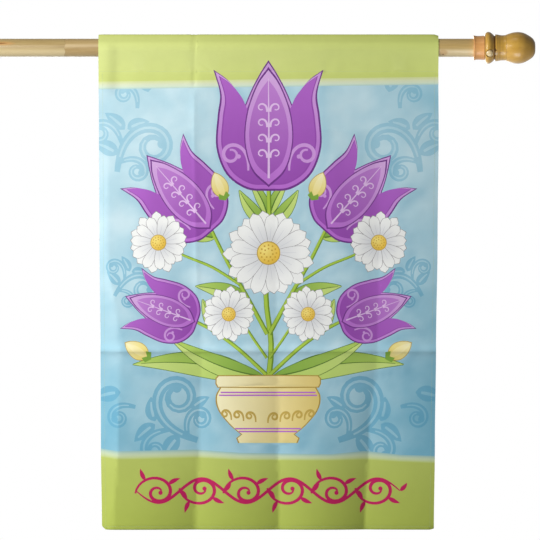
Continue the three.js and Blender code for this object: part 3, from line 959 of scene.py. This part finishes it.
for leaf in LEAVES:
    for side in (1, -1):
        line = leaf_line(leaf["length"], leaf["bend"], 18)
        widths = leaf_widths(leaf["half_width"], 18)
        where = {"at": leaf["root"], "turn": math.radians(leaf["turn"]), "side": side}
        root, tip = placed([(0, 0), line[-1]], **where)
        stamp(ribbon(line, widths + 1.3), where, LEAF_EDGE, casts=True)
        stamp(ribbon(line, widths), where, fade(root, tip, LEAF_DARK, LEAF_LIGHT))
        upper = np.vstack([line, ribbon(line, widths)[18:]])
        stamp(upper, where, fade(root, tip, LEAF_LIGHT, LEAF_TIP))
        stamp(ribbon(line[1:-1], np.linspace(1.6, 0.5, 16)), where, LEAF_EDGE)
for stem in STEMS:
    for side in stem["sides"]:
        x, down = smooth_curve(stem["through"], 5).T
        line = np.stack([MIDDLE + side * x, down], 1)
        widths = stem["half_width"] * np.linspace(1, 0.72, len(line))
        draw(ribbon(line, widths), STEM_DARK, casts=True)
        draw(ribbon(line - [1.2, 0], widths * 0.62), STEM_LIGHT)


# The tulips: each a cup of pointed petals in purple inks, with a deep outline, a lilac rim, scrolls on
# its sides and a sprig up its middle petal.
PURPLE_EDGE = (112, 50, 136)
PURPLE = (184, 106, 206)
PURPLE_DEEP = (150, 74, 174)
LILAC = (214, 168, 226)
LILAC_SCROLL = (208, 154, 222)
LILAC_SPRIG = (228, 194, 236)
TULIPS = [
    {"at": (0, 340), "turn": 0, "size": 268, "sides": (1,)},
    {"at": (118, 424), "turn": 41, "size": 205, "sides": (1, -1)},
    {"at": (150, 616), "turn": 70, "size": 158, "sides": (1, -1)},
]
TULIP_SIDE = [(0, 0), (0.17, 0.015), (0.33, 0.13), (0.41, 0.34), (0.40, 0.58), (0.38, 0.76), (0.43, 0.95)]
TULIP_DIP = [(0.43, 0.95), (0.32, 0.87), (0.24, 0.77), (0.19, 0.66)]
TULIP_PEAK = [(0.19, 0.66), (0.13, 0.80), (0.06, 0.93), (0, 1.03)]
tulip_half = np.vstack([smooth_curve(TULIP_SIDE, 6)[:-1], smooth_curve(TULIP_DIP, 5)[:-1],
                        smooth_curve(TULIP_PEAK, 5)])
tulip_outline = np.vstack([tulip_half, (tulip_half * [-1, 1])[::-1][1:-1]])
petal_half = smooth_curve([(0, 0.03), (0.13, 0.16), (0.19, 0.38), (0.17, 0.62), (0.09, 0.84), (0, 0.97)], 6)
petal_outline = np.vstack([petal_half, (petal_half * [-1, 1])[::-1][1:-1]])
TULIP_MIDDLE = np.array([0, 0.47])


def inset(outline, share):
    """A tulip's outline, drawn in towards its middle."""
    return TULIP_MIDDLE + (outline - TULIP_MIDDLE) * share


for tulip in TULIPS:
    for side in tulip["sides"]:
        where = standing(tulip, side)
        foot, top = placed([(0, 0), (0, 1)], **where)
        stamp(tulip_outline, where, PURPLE_EDGE, casts=True)
        stamp(inset(tulip_outline, 0.965), where, fade(foot, top, PURPLE, LILAC))
        stamp(inset(tulip_outline, 0.90), where, PURPLE_DEEP)
        stamp(inset(tulip_outline, 0.875), where, fade(foot, top, PURPLE_DEEP, PURPLE))
        for hand in (1, -1):
            line = scroll(0.62, 8.2) * [hand, 1] + [0.16 * hand, 0.16]
            t = np.linspace(0, 1, len(line))
            widths = 0.014 * (0.35 + 0.65 * np.sin(math.pi * (0.1 + 0.8 * t)))
            stamp(ribbon(line, widths), where, LILAC_SCROLL)
            stamp(disc(0.017, 12) + [0.235 * hand, 0.27], where, LILAC_SCROLL)
        stamp(petal_outline, where, PURPLE_EDGE)
        stamp(inset(petal_outline, 0.955), where, fade(foot, top, PURPLE, (220, 180, 230)))
        stamp(inset(petal_outline, 0.80), where, fade(foot, top, PURPLE_DEEP, (202, 142, 218)))
        for height in (0.26, 0.38, 0.50, 0.62):
            for hand in (1, -1):
                line = scroll(0.17, 5.4, 1.7, 14) * [hand, 1] + [0.012 * hand, height]
                stamp(ribbon(line, np.linspace(0.009, 0.004, 14)), where, LILAC_SPRIG)
        line = np.stack([np.zeros(12), np.linspace(0.1, 0.88, 12)], 1)
        stamp(ribbon(line, np.linspace(0.009, 0.003, 12)), where, LILAC_SPRIG)


# The daisies: two rings of white petals, each with a grey outline and vein, shaded towards a yellow
# eye with rings of seeds.
PETAL_EDGE = (152, 148, 150)
PETAL_WHITE = (250, 251, 248)
PETAL_SHADE = (206, 208, 214)
PETAL_VEIN = (214, 216, 220)
EYE_EDGE = (188, 152, 44)
SEED = (206, 160, 48)
DAISIES = [
    {"at": (0, 470), "radius": 92, "petals": 13, "turn": 0.1, "sides": (1,)},
    {"at": (232, 448), "radius": 62, "petals": 11, "turn": 0.35, "sides": (1, -1)},
    {"at": (84, 598), "radius": 56, "petals": 11, "turn": 0.2, "sides": (1, -1)},
]
for daisy in DAISIES:
    for side in daisy["sides"]:
        centre = np.array([MIDDLE + side * daisy["at"][0], daisy["at"][1]])
        radius = daisy["radius"]
        for ring, reach in ((0.5, 1.0), (0.0, 0.93)):
            for petal in range(daisy["petals"]):
                uneven = 1 + 0.05 * math.sin(5.1 * petal + 3 * ring + radius)
                length = radius * reach * uneven
                half = radius * (0.215 if daisy["petals"] < 12 else 0.19)
                t = np.linspace(0, 1, 10)
                widths = half * np.sqrt(np.clip(t * 1.02, 0, 1)) * np.sqrt(np.clip(1 - t**5, 0, 1)) + 0.1
                line = np.stack([np.zeros(10), radius * 0.12 + t * (length - radius * 0.12)], 1)
                angle = daisy["turn"] + (petal + ring) / daisy["petals"] * math.tau
                where = {"at": daisy["at"], "turn": angle, "side": side}
                edge_line = line.copy()
                edge_line[-1, 1] += 1.0
                stamp(ribbon(edge_line, widths + 0.9), where, PETAL_EDGE, casts=True)
                shade = colour(PETAL_SHADE) - (14 if ring else 0)
                stamp(ribbon(line, widths), where,
                      halo(centre, length * 0.8, shade, PETAL_WHITE))
                vein = np.stack([np.zeros(3), np.linspace(0.3, 0.66, 3) * length], 1)
                stamp(ribbon(vein, np.linspace(0.7, 0.25, 3)), where, PETAL_VEIN)
        eye = {"at": daisy["at"], "side": side}
        stamp(disc(radius * 0.27, 28), eye, EYE_EDGE)
        stamp(disc(radius * 0.25, 28), eye,
              halo(centre - radius * 0.08, radius * 0.34, (255, 236, 140), (232, 190, 70)))
        for ring, count in ((0.18, 12), (0.1, 7)):
            for seed in range(count):
                spot = placed([(0, radius * ring)], daisy["at"], seed / count * math.tau, 1, side)[0]
                draw(disc(radius * 0.022, 6) + spot, SEED)


# The yellow buds with their green calyxes, and the cream pot with its rim, its purple bands and a row
# of small scrolls.
BUD_EDGE = (190, 160, 70)
CALYX = [(-0.13, 0.22), (-0.2, 0.05), (0, -0.07), (0.2, 0.05), (0.13, 0.22), (0, 0.1)]
BUDS = [
    {"at": (92, 356), "turn": 22, "size": 62},
    {"at": (252, 690), "turn": 58, "size": 64},
]
for bud in BUDS:
    for side in (1, -1):
        where = standing(bud, side)
        foot, top = placed([(0, 0), (0, 1)], **where)
        stamp(petal_outline * [1.5, 1], where, BUD_EDGE, casts=True)
        stamp(inset(petal_outline * [1.5, 1], 0.93), where,
              fade(foot, top, (226, 206, 104), (252, 242, 190)))
        stamp(inset(petal_outline * [0.7, 1], 0.86), where,
              fade(foot, top, (236, 218, 128), (253, 246, 208)))
        stamp(CALYX, where, LEAF_DARK)

POT_EDGE = (176, 146, 62)
POT_PALE = (252, 244, 200)
POT_DEEP = (226, 202, 118)
POT_SCROLL = (196, 166, 78)
POT_HALF = [(0, 868), (62, 868), (66, 858), (56, 850), (80, 830), (104, 800), (110, 772), (100, 750)]
pot_half = smooth_curve(POT_HALF[3:], 6)
pot_right = np.vstack([POT_HALF[:3], pot_half])


def pot_shape(right):
    """A pot's outline from its right half."""
    right = np.array(right, float)
    return np.vstack([right + [MIDDLE, 0], (right * [-1, 1] + [MIDDLE, 0])[::-1]])


pot_paint = fade((MIDDLE - 110, 800), (MIDDLE + 110, 830), POT_PALE, POT_DEEP)
draw(pot_shape(pot_right + [1.6, 0]), POT_EDGE, casts=True)
draw(pot_shape(np.clip(pot_right - [1.4, 0], 0, None)), pot_paint)
RIM = [(108, 752), (112, 744), (112, 732), (106, 726)]
draw(pot_shape([(0, 753), *RIM, (0, 725)]), POT_EDGE, casts=True)
draw(pot_shape([(0, 750.5), (106, 750), (109.5, 743), (109.5, 733), (105, 728), (0, 727.5)]), pot_paint)
for height, half in ((762, 101), (768, 104), (838, 70), (844, 62)):
    line = np.stack([np.linspace(-half, half, 24) + MIDDLE, np.full(24, float(height))], 1)
    draw(ribbon(line, np.full(24, 1.5)), PURPLE)
for place in np.linspace(-78, 78, 7):
    line = scroll(62, 8.0, 1.9, 30) * [1 if place >= 0 else -1, 1]
    wide = 2.4 * (0.4 + 0.6 * np.sin(math.pi * np.linspace(0.1, 0.9, 30)))
    draw(placed(ribbon(line, wide), (place, 826 - abs(place) * 0.08)), POT_SCROLL)


# The running scroll on the lower band, in one magenta ink: a waving stem with a coil and three small
# leaves in each of its bays.
VINE_COLOUR = (194, 22, 92)
VINE_MIDDLE = 968
VINE_WAVE = 188
VINE_RISE = 25
x = np.linspace(-VINE_WAVE * 1.5, VINE_WAVE * 1.5, 110)
vine = np.stack([MIDDLE + x, VINE_MIDDLE - VINE_RISE * np.sin(x / VINE_WAVE * math.tau)], 1)
draw(ribbon(vine, 1.2 + 2.0 * np.clip((1.5 * VINE_WAVE - np.abs(x)) / 60, 0, 1)), VINE_COLOUR)
t = np.linspace(0, 1, 44)
for bay in range(6):
    up = 1 if bay % 2 == 0 else -1
    centre = np.array([(bay - 2.5) * VINE_WAVE / 2, -4 * up])
    coil = 20 * (1 - t) ** 4 + 23 * (1 - t) ** 0.75 + 5.5
    angle = np.radians(182 - 545 * t)
    line = np.stack([coil * np.cos(angle), 0.86 * up * coil * np.sin(angle)], 1) + centre
    wide = 1.4 + 2.4 * np.sin(math.pi * np.clip(0.1 + 0.9 * t, 0, 1))
    at = (0, VINE_MIDDLE)
    draw(placed(ribbon(line, wide), at), VINE_COLOUR)
    draw(placed(disc(4.6, 16) + line[-1], at), VINE_COLOUR)
    for at_angle, length in ((126, 26), (38, 28)):
        root = line[np.abs(angle - math.radians(at_angle)).argmin()] * [1, up]
        bract = turned_in_place(ribbon(leaf_line(length, 6), leaf_widths(4.6)), root, 90 - at_angle)
        draw(placed(bract * [1, up], at), VINE_COLOUR)
    bract = turned_in_place(ribbon(leaf_line(22, 6), leaf_widths(4.6)), (centre[0] + 47, 0), 122)
    draw(placed(bract * [1, up], at), VINE_COLOUR)


# The cloth's mesh: its grid, folds and printed outlines meet in one net of triangles, which is painted
# face by face and then hung. The reverse shows the dye through, paler.
open_lines = []
across = np.linspace(0, WIDTH, 80)
for table in (UPPER_LINE, LOWER_LINE):
    top, foot = (np.interp(across, *line_rows(table, column)) for column in ("top", "foot"))
    for share in LINE_SHARES:
        open_lines.append(np.stack([across, top + (foot - top) * share], 1))
down = np.linspace(STITCH_DOWN, HEM_DOWN, 150)
share = (down - STITCH_DOWN) / PANEL
for fold in FOLD_LINES[1:-1]:
    open_lines.append(np.stack([at_share(fold["across"], share) * WIDTH, down], 1))
for crease in SMALL_CREASES:
    start, end = np.array(crease["start"], float), np.array(crease["end"], float)
    run = end - start
    to_right = np.array([run[1], -run[0]]) / np.hypot(*run)
    left_width, right_width = crease["widths"]
    if left_width < 10:
        for offset in (-1.1 * left_width, -0.55 * left_width, 0, 0.55 * right_width, 1.1 * right_width):
            t = np.linspace(0, 1, round(np.hypot(*run) / GRID) + 1)[:, None]
            open_lines.append(start + run * t + to_right * offset)

points = []
edges = []
closed_lines = [shape["outline"] for shape in shapes]
for line, is_closed in [(line, True) for line in closed_lines] + [(line, False) for line in open_lines]:
    first = len(points)
    points.extend(map(tuple, line))
    edges.extend((first + i, first + i + 1) for i in range(len(line) - 1))
    if is_closed:
        edges.append((first + len(line) - 1, first))
outline_tree = kdtree.KDTree(len(points))
for index, (across, height) in enumerate(points):
    outline_tree.insert((across, height, 0), index)
outline_tree.balance()

columns = np.linspace(0, WIDTH, round(WIDTH / GRID) + 1)
rows = np.concatenate([
    np.linspace(FLAP_DOWN, -STITCH_DOWN, 3)[:-1],
    -sleeve_length[::-1],
    sleeve_length[1:],
    np.linspace(STITCH_DOWN, HEM_DOWN, round(PANEL / GRID) + 1)[1:],
])
for height in rows:
    for across in columns:
        border = across in (columns[0], columns[-1]) or height in (rows[0], rows[-1])
        if border or outline_tree.find((across, height, 0))[2] > GRID * 0.3:
            points.append((across, height))

border = [(0, FLAP_DOWN), (WIDTH, FLAP_DOWN), (WIDTH, HEM_DOWN), (0, HEM_DOWN)]
edges.extend((len(points) + i, len(points) + (i + 1) % 4) for i in range(4))
points.extend(border)
net = geometry.delaunay_2d_cdt([Vector(point) for point in points], edges, [], 0, 1e-4)
flat = np.array([tuple(vertex) for vertex in net[0]])
faces = np.array(net[2])[:, ::-1]
centres = flat[faces].mean(1)
on_cloth = ((centres > (0, FLAP_DOWN)) & (centres < (WIDTH, HEM_DOWN))).all(1)
used, renumbered = np.unique(faces[on_cloth], return_inverse=True)
flat = np.clip(flat[used], (0, FLAP_DOWN), (WIDTH, HEM_DOWN))
faces = renumbered.reshape(-1, 3)
centres = centres[on_cloth]


def inside(points, outline):
    """Which points lie inside a closed outline, by how often it winds round them."""
    x, y = points.T
    winding = np.zeros(len(points), int)
    for (x0, y0), (x1, y1) in zip(outline, np.roll(outline, -1, 0)):
        left = (x1 - x0) * (y - y0) - (x - x0) * (y1 - y0)
        winding += (y0 <= y) & (y1 > y) & (left > 0)
        winding -= (y0 > y) & (y1 <= y) & (left < 0)
    return winding != 0


def zone_of(points):
    """Which printed zone points lie in, counted down from the upper band."""
    return sum((line_share(points, table) > edge).astype(int)
               for table in (UPPER_LINE, LOWER_LINE) for edge in (0, 1))


SHADOW_SHIFT = (7, 9)
SHADOW_REACH = 13
SHADOW_TINT = (0.11, 0.065, 0.045)
casting = np.vstack([shape["outline"] for shape in shapes if shape["casts"]]) + SHADOW_SHIFT
shadow_tree = kdtree.KDTree(len(casting))
for index, (across, height) in enumerate(casting):
    shadow_tree.insert((across, height, 0), index)
shadow_tree.balance()
nearness = np.array([shadow_tree.find((across, height, 0))[2] for across, height in flat])
shadow = 1 - np.exp(-(nearness / SHADOW_REACH) ** 2)[:, None] * SHADOW_TINT

# Painted light just above the low crease and painted shade just below it, over every ink.
CREASE_LIGHT_AND_SHADE = [
    {"past": -9, "reach": 8, "tone": 0.03},
    {"past": 3, "reach": 4, "tone": -0.02},
]
GROUND_ZONE = 2
paints = [upper_band_and_shade_paint, line_paint(UPPER_LINE, UPPER_INKS), ground_paint,
          line_paint(LOWER_LINE, LOWER_INKS), fade((0, 900), (0, HEM_DOWN), GREEN_BELOW, GREEN_FOOT)]
zone = zone_of(centres)
layer = zone.copy()
for index, shape in enumerate(shapes):
    outline = shape["outline"]
    low, high = outline.min(0), outline.max(0)
    near = np.flatnonzero(((centres >= low) & (centres <= high)).all(1))
    if shape["paint"] in (scroll_paint, scroll_light):
        near = near[zone[near] == GROUND_ZONE]
    layer[near[inside(centres[near], outline)]] = len(paints) + index
paints += [shape["paint"] for shape in shapes]


def paint_faces(layer, corners):
    """The colours at the corners of faces, from the number of the paint on each face."""
    painted = np.empty((*corners.shape[:2], 3))
    for index in np.unique(layer):
        chosen = layer == index
        paint = paints[index]
        places = corners[chosen].reshape(-1, 2)
        inks = paint(places) if callable(paint) else np.tile(colour(paint), (len(places), 1))
        painted[chosen] = inks.reshape(-1, corners.shape[1], 3)
    return painted


corners = flat[faces]
painted = paint_faces(layer, corners)
on_ground = np.isin(layer, [index for index, paint in enumerate(paints)
                            if paint in (ground_paint, scroll_paint, scroll_light)])
painted[on_ground] *= shadow[faces[on_ground]]
# Painted light above the low crease and painted shade below it.
past_crease = corners[:, :, 1:] - PRESSED_DOWN
painted *= 1 + sum(mark["tone"] * np.exp(-((past_crease - mark["past"]) / mark["reach"]) ** 2)
                   for mark in CREASE_LIGHT_AND_SHADE)
painted = to_linear(np.clip(painted, 0, 255))


def printed_sheet(name, flat, hung, faces, painted):
    """A sheet of cloth with its print as a colour on each corner and its flat place as its UV map."""
    mesh = bpy.data.meshes.new(name)
    mesh.from_pydata(hung.tolist(), [], faces.tolist())
    tint = mesh.color_attributes.new("print", "FLOAT_COLOR", "CORNER")
    with_alpha = np.concatenate([painted, np.ones((*painted.shape[:-1], 1))], -1)
    tint.data.foreach_set("color", with_alpha.ravel())
    uv = mesh.uv_layers.new(name="flat_cloth")
    uv.data.foreach_set("uv", (flat[faces] * MM).ravel())
    sheet = bpy.data.objects.new(name, mesh)
    bpy.context.scene.collection.objects.link(sheet)
    make_active(sheet)
    return sheet


def thickened(sheet):
    """Gives a sheet its thickness, with its second material on the reverse."""
    thick = sheet.modifiers.new("thickness", "SOLIDIFY")
    thick.thickness = CLOTH_THICKNESS * MM
    thick.offset = 0
    thick.material_offset = 1
    bpy.ops.object.modifier_apply(modifier=thick.name)
    bpy.ops.object.shade_smooth_by_angle(angle=math.radians(50))


def printed_cloth():
    """A group: the print, as its dye lies on a plain weave, with slow mottling and a fine crumple."""
    group, given = surface_group("printed_cloth", {"Show Through": "Float"})
    print_colour = node(group, "ShaderNodeAttribute", attribute_name="print").outputs["Color"]
    flat_place = node(group, "ShaderNodeUVMap", uv_map="flat_cloth").outputs[0]
    warp, weft = (
        node(group, "ShaderNodeTexWave", {"Scale": 620.0, "Distortion": 0.4}, {"Vector": flat_place},
             bands_direction=way).outputs["Fac"]
        for way in "XY"
    )
    weave = maths(group, "MULTIPLY", warp, weft)
    mottle = node(group, "ShaderNodeTexNoise", {"Scale": 38.0, "Detail": 4.0}, {"Vector": flat_place})
    slow = node(group, "ShaderNodeTexNoise", {"Scale": 6.0, "Detail": 2.0}, {"Vector": flat_place})
    tone = maths(group, "ADD", maths(group, "MULTIPLY", mottle.outputs["Fac"], 0.07),
                 maths(group, "MULTIPLY", slow.outputs["Fac"], 0.10))
    tone = maths(group, "ADD", tone, maths(group, "MULTIPLY", weave, 0.05))
    tone = maths(group, "ADD", tone, 0.90)
    dyed = node(group, "ShaderNodeVectorMath", links={0: print_colour, "Scale": tone}, operation="SCALE")
    paler = mixed(group, given["Show Through"], dyed.outputs[0], linear(236, 238, 236))
    crumple = node(group, "ShaderNodeTexNoise", {"Scale": 22.0, "Detail": 3.0, "Distortion": 0.5},
                   {"Vector": flat_place})
    height = maths(group, "ADD", maths(group, "MULTIPLY", crumple.outputs["Fac"], 1.0),
                   maths(group, "MULTIPLY", weave, 0.06))
    sheen = node(group, "ShaderNodeMapRange", {"To Min": 0.56, "To Max": 0.7},
                 {"Value": mottle.outputs["Fac"]})
    node(group, "NodeGroupOutput", links={
        "Color": paler, "Roughness": sheen.outputs[0], "Height": height
    })
    return group


cloth_group = printed_cloth()


def cloth_material(name, show_through):
    """One side of the cloth: how far the bare fibre shows beside the dye."""
    material, tree, output = new_material(name)
    made = node(tree, "ShaderNodeGroup", node_tree=cloth_group)
    made.inputs["Show Through"].default_value = show_through
    bump = node(tree, "ShaderNodeBump", {"Strength": 0.6, "Distance": 0.0006},
                {"Height": made.outputs["Height"]})
    surface = node(tree, "ShaderNodeBsdfPrincipled", {
        "Specular IOR Level": 0.25, "Sheen Weight": 0.12, "Sheen Roughness": 0.5
    }, {"Base Color": made.outputs["Color"], "Roughness": made.outputs["Roughness"],
        "Normal": bump.outputs[0]})
    tree.links.new(surface.outputs[0], output.inputs["Surface"])
    return material


face_material = cloth_material("flag_face", 0.0)
reverse_material = cloth_material("flag_reverse", 0.28)
flag = printed_sheet("printed_flag", flat, hang(*flat.T), faces, painted)
flag.data.materials.append(face_material)
flag.data.materials.append(reverse_material)
thickened(flag)
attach(flag, "root")
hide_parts("flag_cloth")


# The hems: the cloth's sides and foot, turned back once and pressed flat behind the face. They are the
# same printed cloth, seen from behind with its dye outwards.
HEM = 10.0
HEM_OFFSET = 0.42


def facing(across, down):
    """Which way the printed face looks at points of the cloth, as it hangs."""
    step = 0.5
    across, down = np.asarray(across, float), np.asarray(down, float)
    rightwards = hang(across + step, down) - hang(across - step, down)
    downwards = hang(across, down + step) - hang(across, down - step)
    normals = np.cross(downwards, rightwards)
    return normals / np.linalg.norm(normals, axis=1)[:, None]


def hem_strip(across, down):
    """A strip of cloth behind the face, as rows of (across, down) points: flat places and faces."""
    flat = np.stack(np.meshgrid(across, down), -1).reshape(-1, 2)
    wide = len(across)
    corner = (np.arange(len(down) - 1)[:, None] * wide + np.arange(wide - 1)).ravel()
    return flat, np.stack([corner, corner + 1, corner + wide + 1, corner + wide], 1)


strip_places, strip_faces = [], []
down_sides = np.linspace(-STITCH_DOWN + 2, HEM_DOWN - 0.3, 190)
across_foot = np.linspace(HEM + 0.3, WIDTH - HEM - 0.3, 120)
for across, down in (
    (np.linspace(0.2, HEM, 4), down_sides),
    (np.linspace(WIDTH - HEM, WIDTH - 0.2, 4), down_sides),
    (across_foot, np.linspace(HEM_DOWN - HEM, HEM_DOWN - 0.3, 5)),
):
    places, quads = hem_strip(across, down)
    strip_faces.append(quads + sum(map(len, strip_places)))
    strip_places.append(places)
strip_flat = np.vstack(strip_places)
strip_quads = np.vstack(strip_faces)
strip_hung = hang(*strip_flat.T) - facing(*strip_flat.T) * HEM_OFFSET * MM
strip_corners = strip_flat[strip_quads]
strip_paint = to_linear(paint_faces(zone_of(strip_corners.mean(1)), strip_corners))
hems = printed_sheet("turned_hems", strip_flat, strip_hung, strip_quads, strip_paint)
hems.data.materials.append(face_material)
hems.data.materials.append(face_material)
thickened(hems)
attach(hems, "root")


# The stitching: lockstitch in pale green-grey thread along the sleeve's seam, the side hems and the foot
# hem, shown on both faces as short stitches that dip into the cloth at their ends.
STITCH_PITCH = 4.0
STITCH_LENGTH = 3.1
THREAD_RADIUS = 0.2
SEAM_FROM_EDGE = 8.4
FACE_LIFT = 0.30
SEAM_BACK_LIFT = -(LAYER_GAP + 0.3)
HEM_BACK_LIFT = -(HEM_OFFSET + 0.3)
THREAD_SIDES = 6
STITCH_RINGS = [
    {"along": -1, "radius": 0.45, "sink": 0.9},
    {"along": -0.62, "radius": 1, "sink": 0.2},
    {"along": 0, "radius": 1.1, "sink": 0},
    {"along": 0.62, "radius": 1, "sink": 0.2},
    {"along": 1, "radius": 0.45, "sink": 0.9},
]
STITCH_POINTS = THREAD_SIDES * len(STITCH_RINGS)


def stitch_row(start, end, lift):
    """The stitches of one straight row on the flat cloth: their middles, runs and outward normals."""
    start, end = np.array(start, float), np.array(end, float)
    length = np.hypot(*(end - start))
    along = (np.arange(int(length / STITCH_PITCH)) + 0.5) * STITCH_PITCH / length
    places = start + (end - start) * along[:, None]
    half = (end - start) / length * STITCH_LENGTH / 2
    outwards = facing(*places.T)
    front = hang(*(places + half).T)
    back = hang(*(places - half).T)
    middle = (front + back) / 2 + outwards * lift * MM
    return middle, (front - back) / 2, outwards * math.copysign(1, lift)


rows = []
for lift in (FACE_LIFT, SEAM_BACK_LIFT):
    rows.append(stitch_row((3, STITCH_DOWN + 0.8), (WIDTH - 3, STITCH_DOWN + 0.8), lift))
for lift in (FACE_LIFT, HEM_BACK_LIFT):
    for across in (SEAM_FROM_EDGE, WIDTH - SEAM_FROM_EDGE):
        rows.append(stitch_row((across, STITCH_DOWN + 5), (across, HEM_DOWN - 4), lift))
    rows.append(stitch_row((4, HEM_DOWN - SEAM_FROM_EDGE), (WIDTH - 4, HEM_DOWN - SEAM_FROM_EDGE), lift))
middles, halves, outs = (np.vstack(part) for part in zip(*rows))
asides = np.cross(halves / np.linalg.norm(halves, axis=1)[:, None], outs)
stitch_points = []
for ring in STITCH_RINGS:
    for turn in np.arange(THREAD_SIDES) / THREAD_SIDES * math.tau:
        off = (asides * math.cos(turn) + outs * math.sin(turn)) * ring["radius"] - outs * ring["sink"]
        stitch_points.append(middles + halves * ring["along"] + off * THREAD_RADIUS * MM)
stitch_points = np.stack(stitch_points, 1).reshape(-1, 3)
side = np.arange(THREAD_SIDES)
next_side = (side + 1) % THREAD_SIDES
one_ring = np.stack([side, next_side, next_side + THREAD_SIDES, side + THREAD_SIDES], 1)
one_stitch = np.vstack([one_ring + THREAD_SIDES * k for k in range(len(STITCH_RINGS) - 1)])
firsts = np.arange(len(middles)) * STITCH_POINTS
stitch_faces = (one_stitch + firsts[:, None, None]).reshape(-1, 4).tolist()
caps = [side[::-1], side + STITCH_POINTS - THREAD_SIDES]
cap_faces = [(first + cap).tolist() for first in firsts for cap in caps]
stitch_mesh = bpy.data.meshes.new("stitching")
stitch_mesh.from_pydata(stitch_points.tolist(), [], stitch_faces + cap_faces)
stitching = bpy.data.objects.new("stitching", stitch_mesh)
bpy.context.scene.collection.objects.link(stitching)
make_active(stitching)
bpy.ops.object.mode_set(mode="EDIT")
bpy.ops.mesh.select_all(action="SELECT")
bpy.ops.mesh.normals_make_consistent(inside=False)
bpy.ops.object.mode_set(mode="OBJECT")
bpy.ops.object.shade_smooth_by_angle(angle=math.radians(60))
thread, tree, output = new_material("sewing_thread")
place = node(tree, "ShaderNodeTexCoord").outputs["Object"]
twist = node(tree, "ShaderNodeTexNoise", {"Scale": 2200.0, "Detail": 1.0}, {"Vector": place}).outputs["Fac"]
thread_bump = node(tree, "ShaderNodeBump", {"Strength": 0.4, "Distance": 0.0001}, {"Height": twist})
thread_tint = mixed(tree, twist, linear(176, 194, 150), linear(206, 220, 178))
thread_surface = node(tree, "ShaderNodeBsdfPrincipled", {"Roughness": 0.55, "Sheen Weight": 0.2},
                      {"Base Color": thread_tint, "Normal": thread_bump.outputs[0]})
tree.links.new(thread_surface.outputs[0], output.inputs["Surface"])
stitch_mesh.materials.append(thread)
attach(stitching, "root")
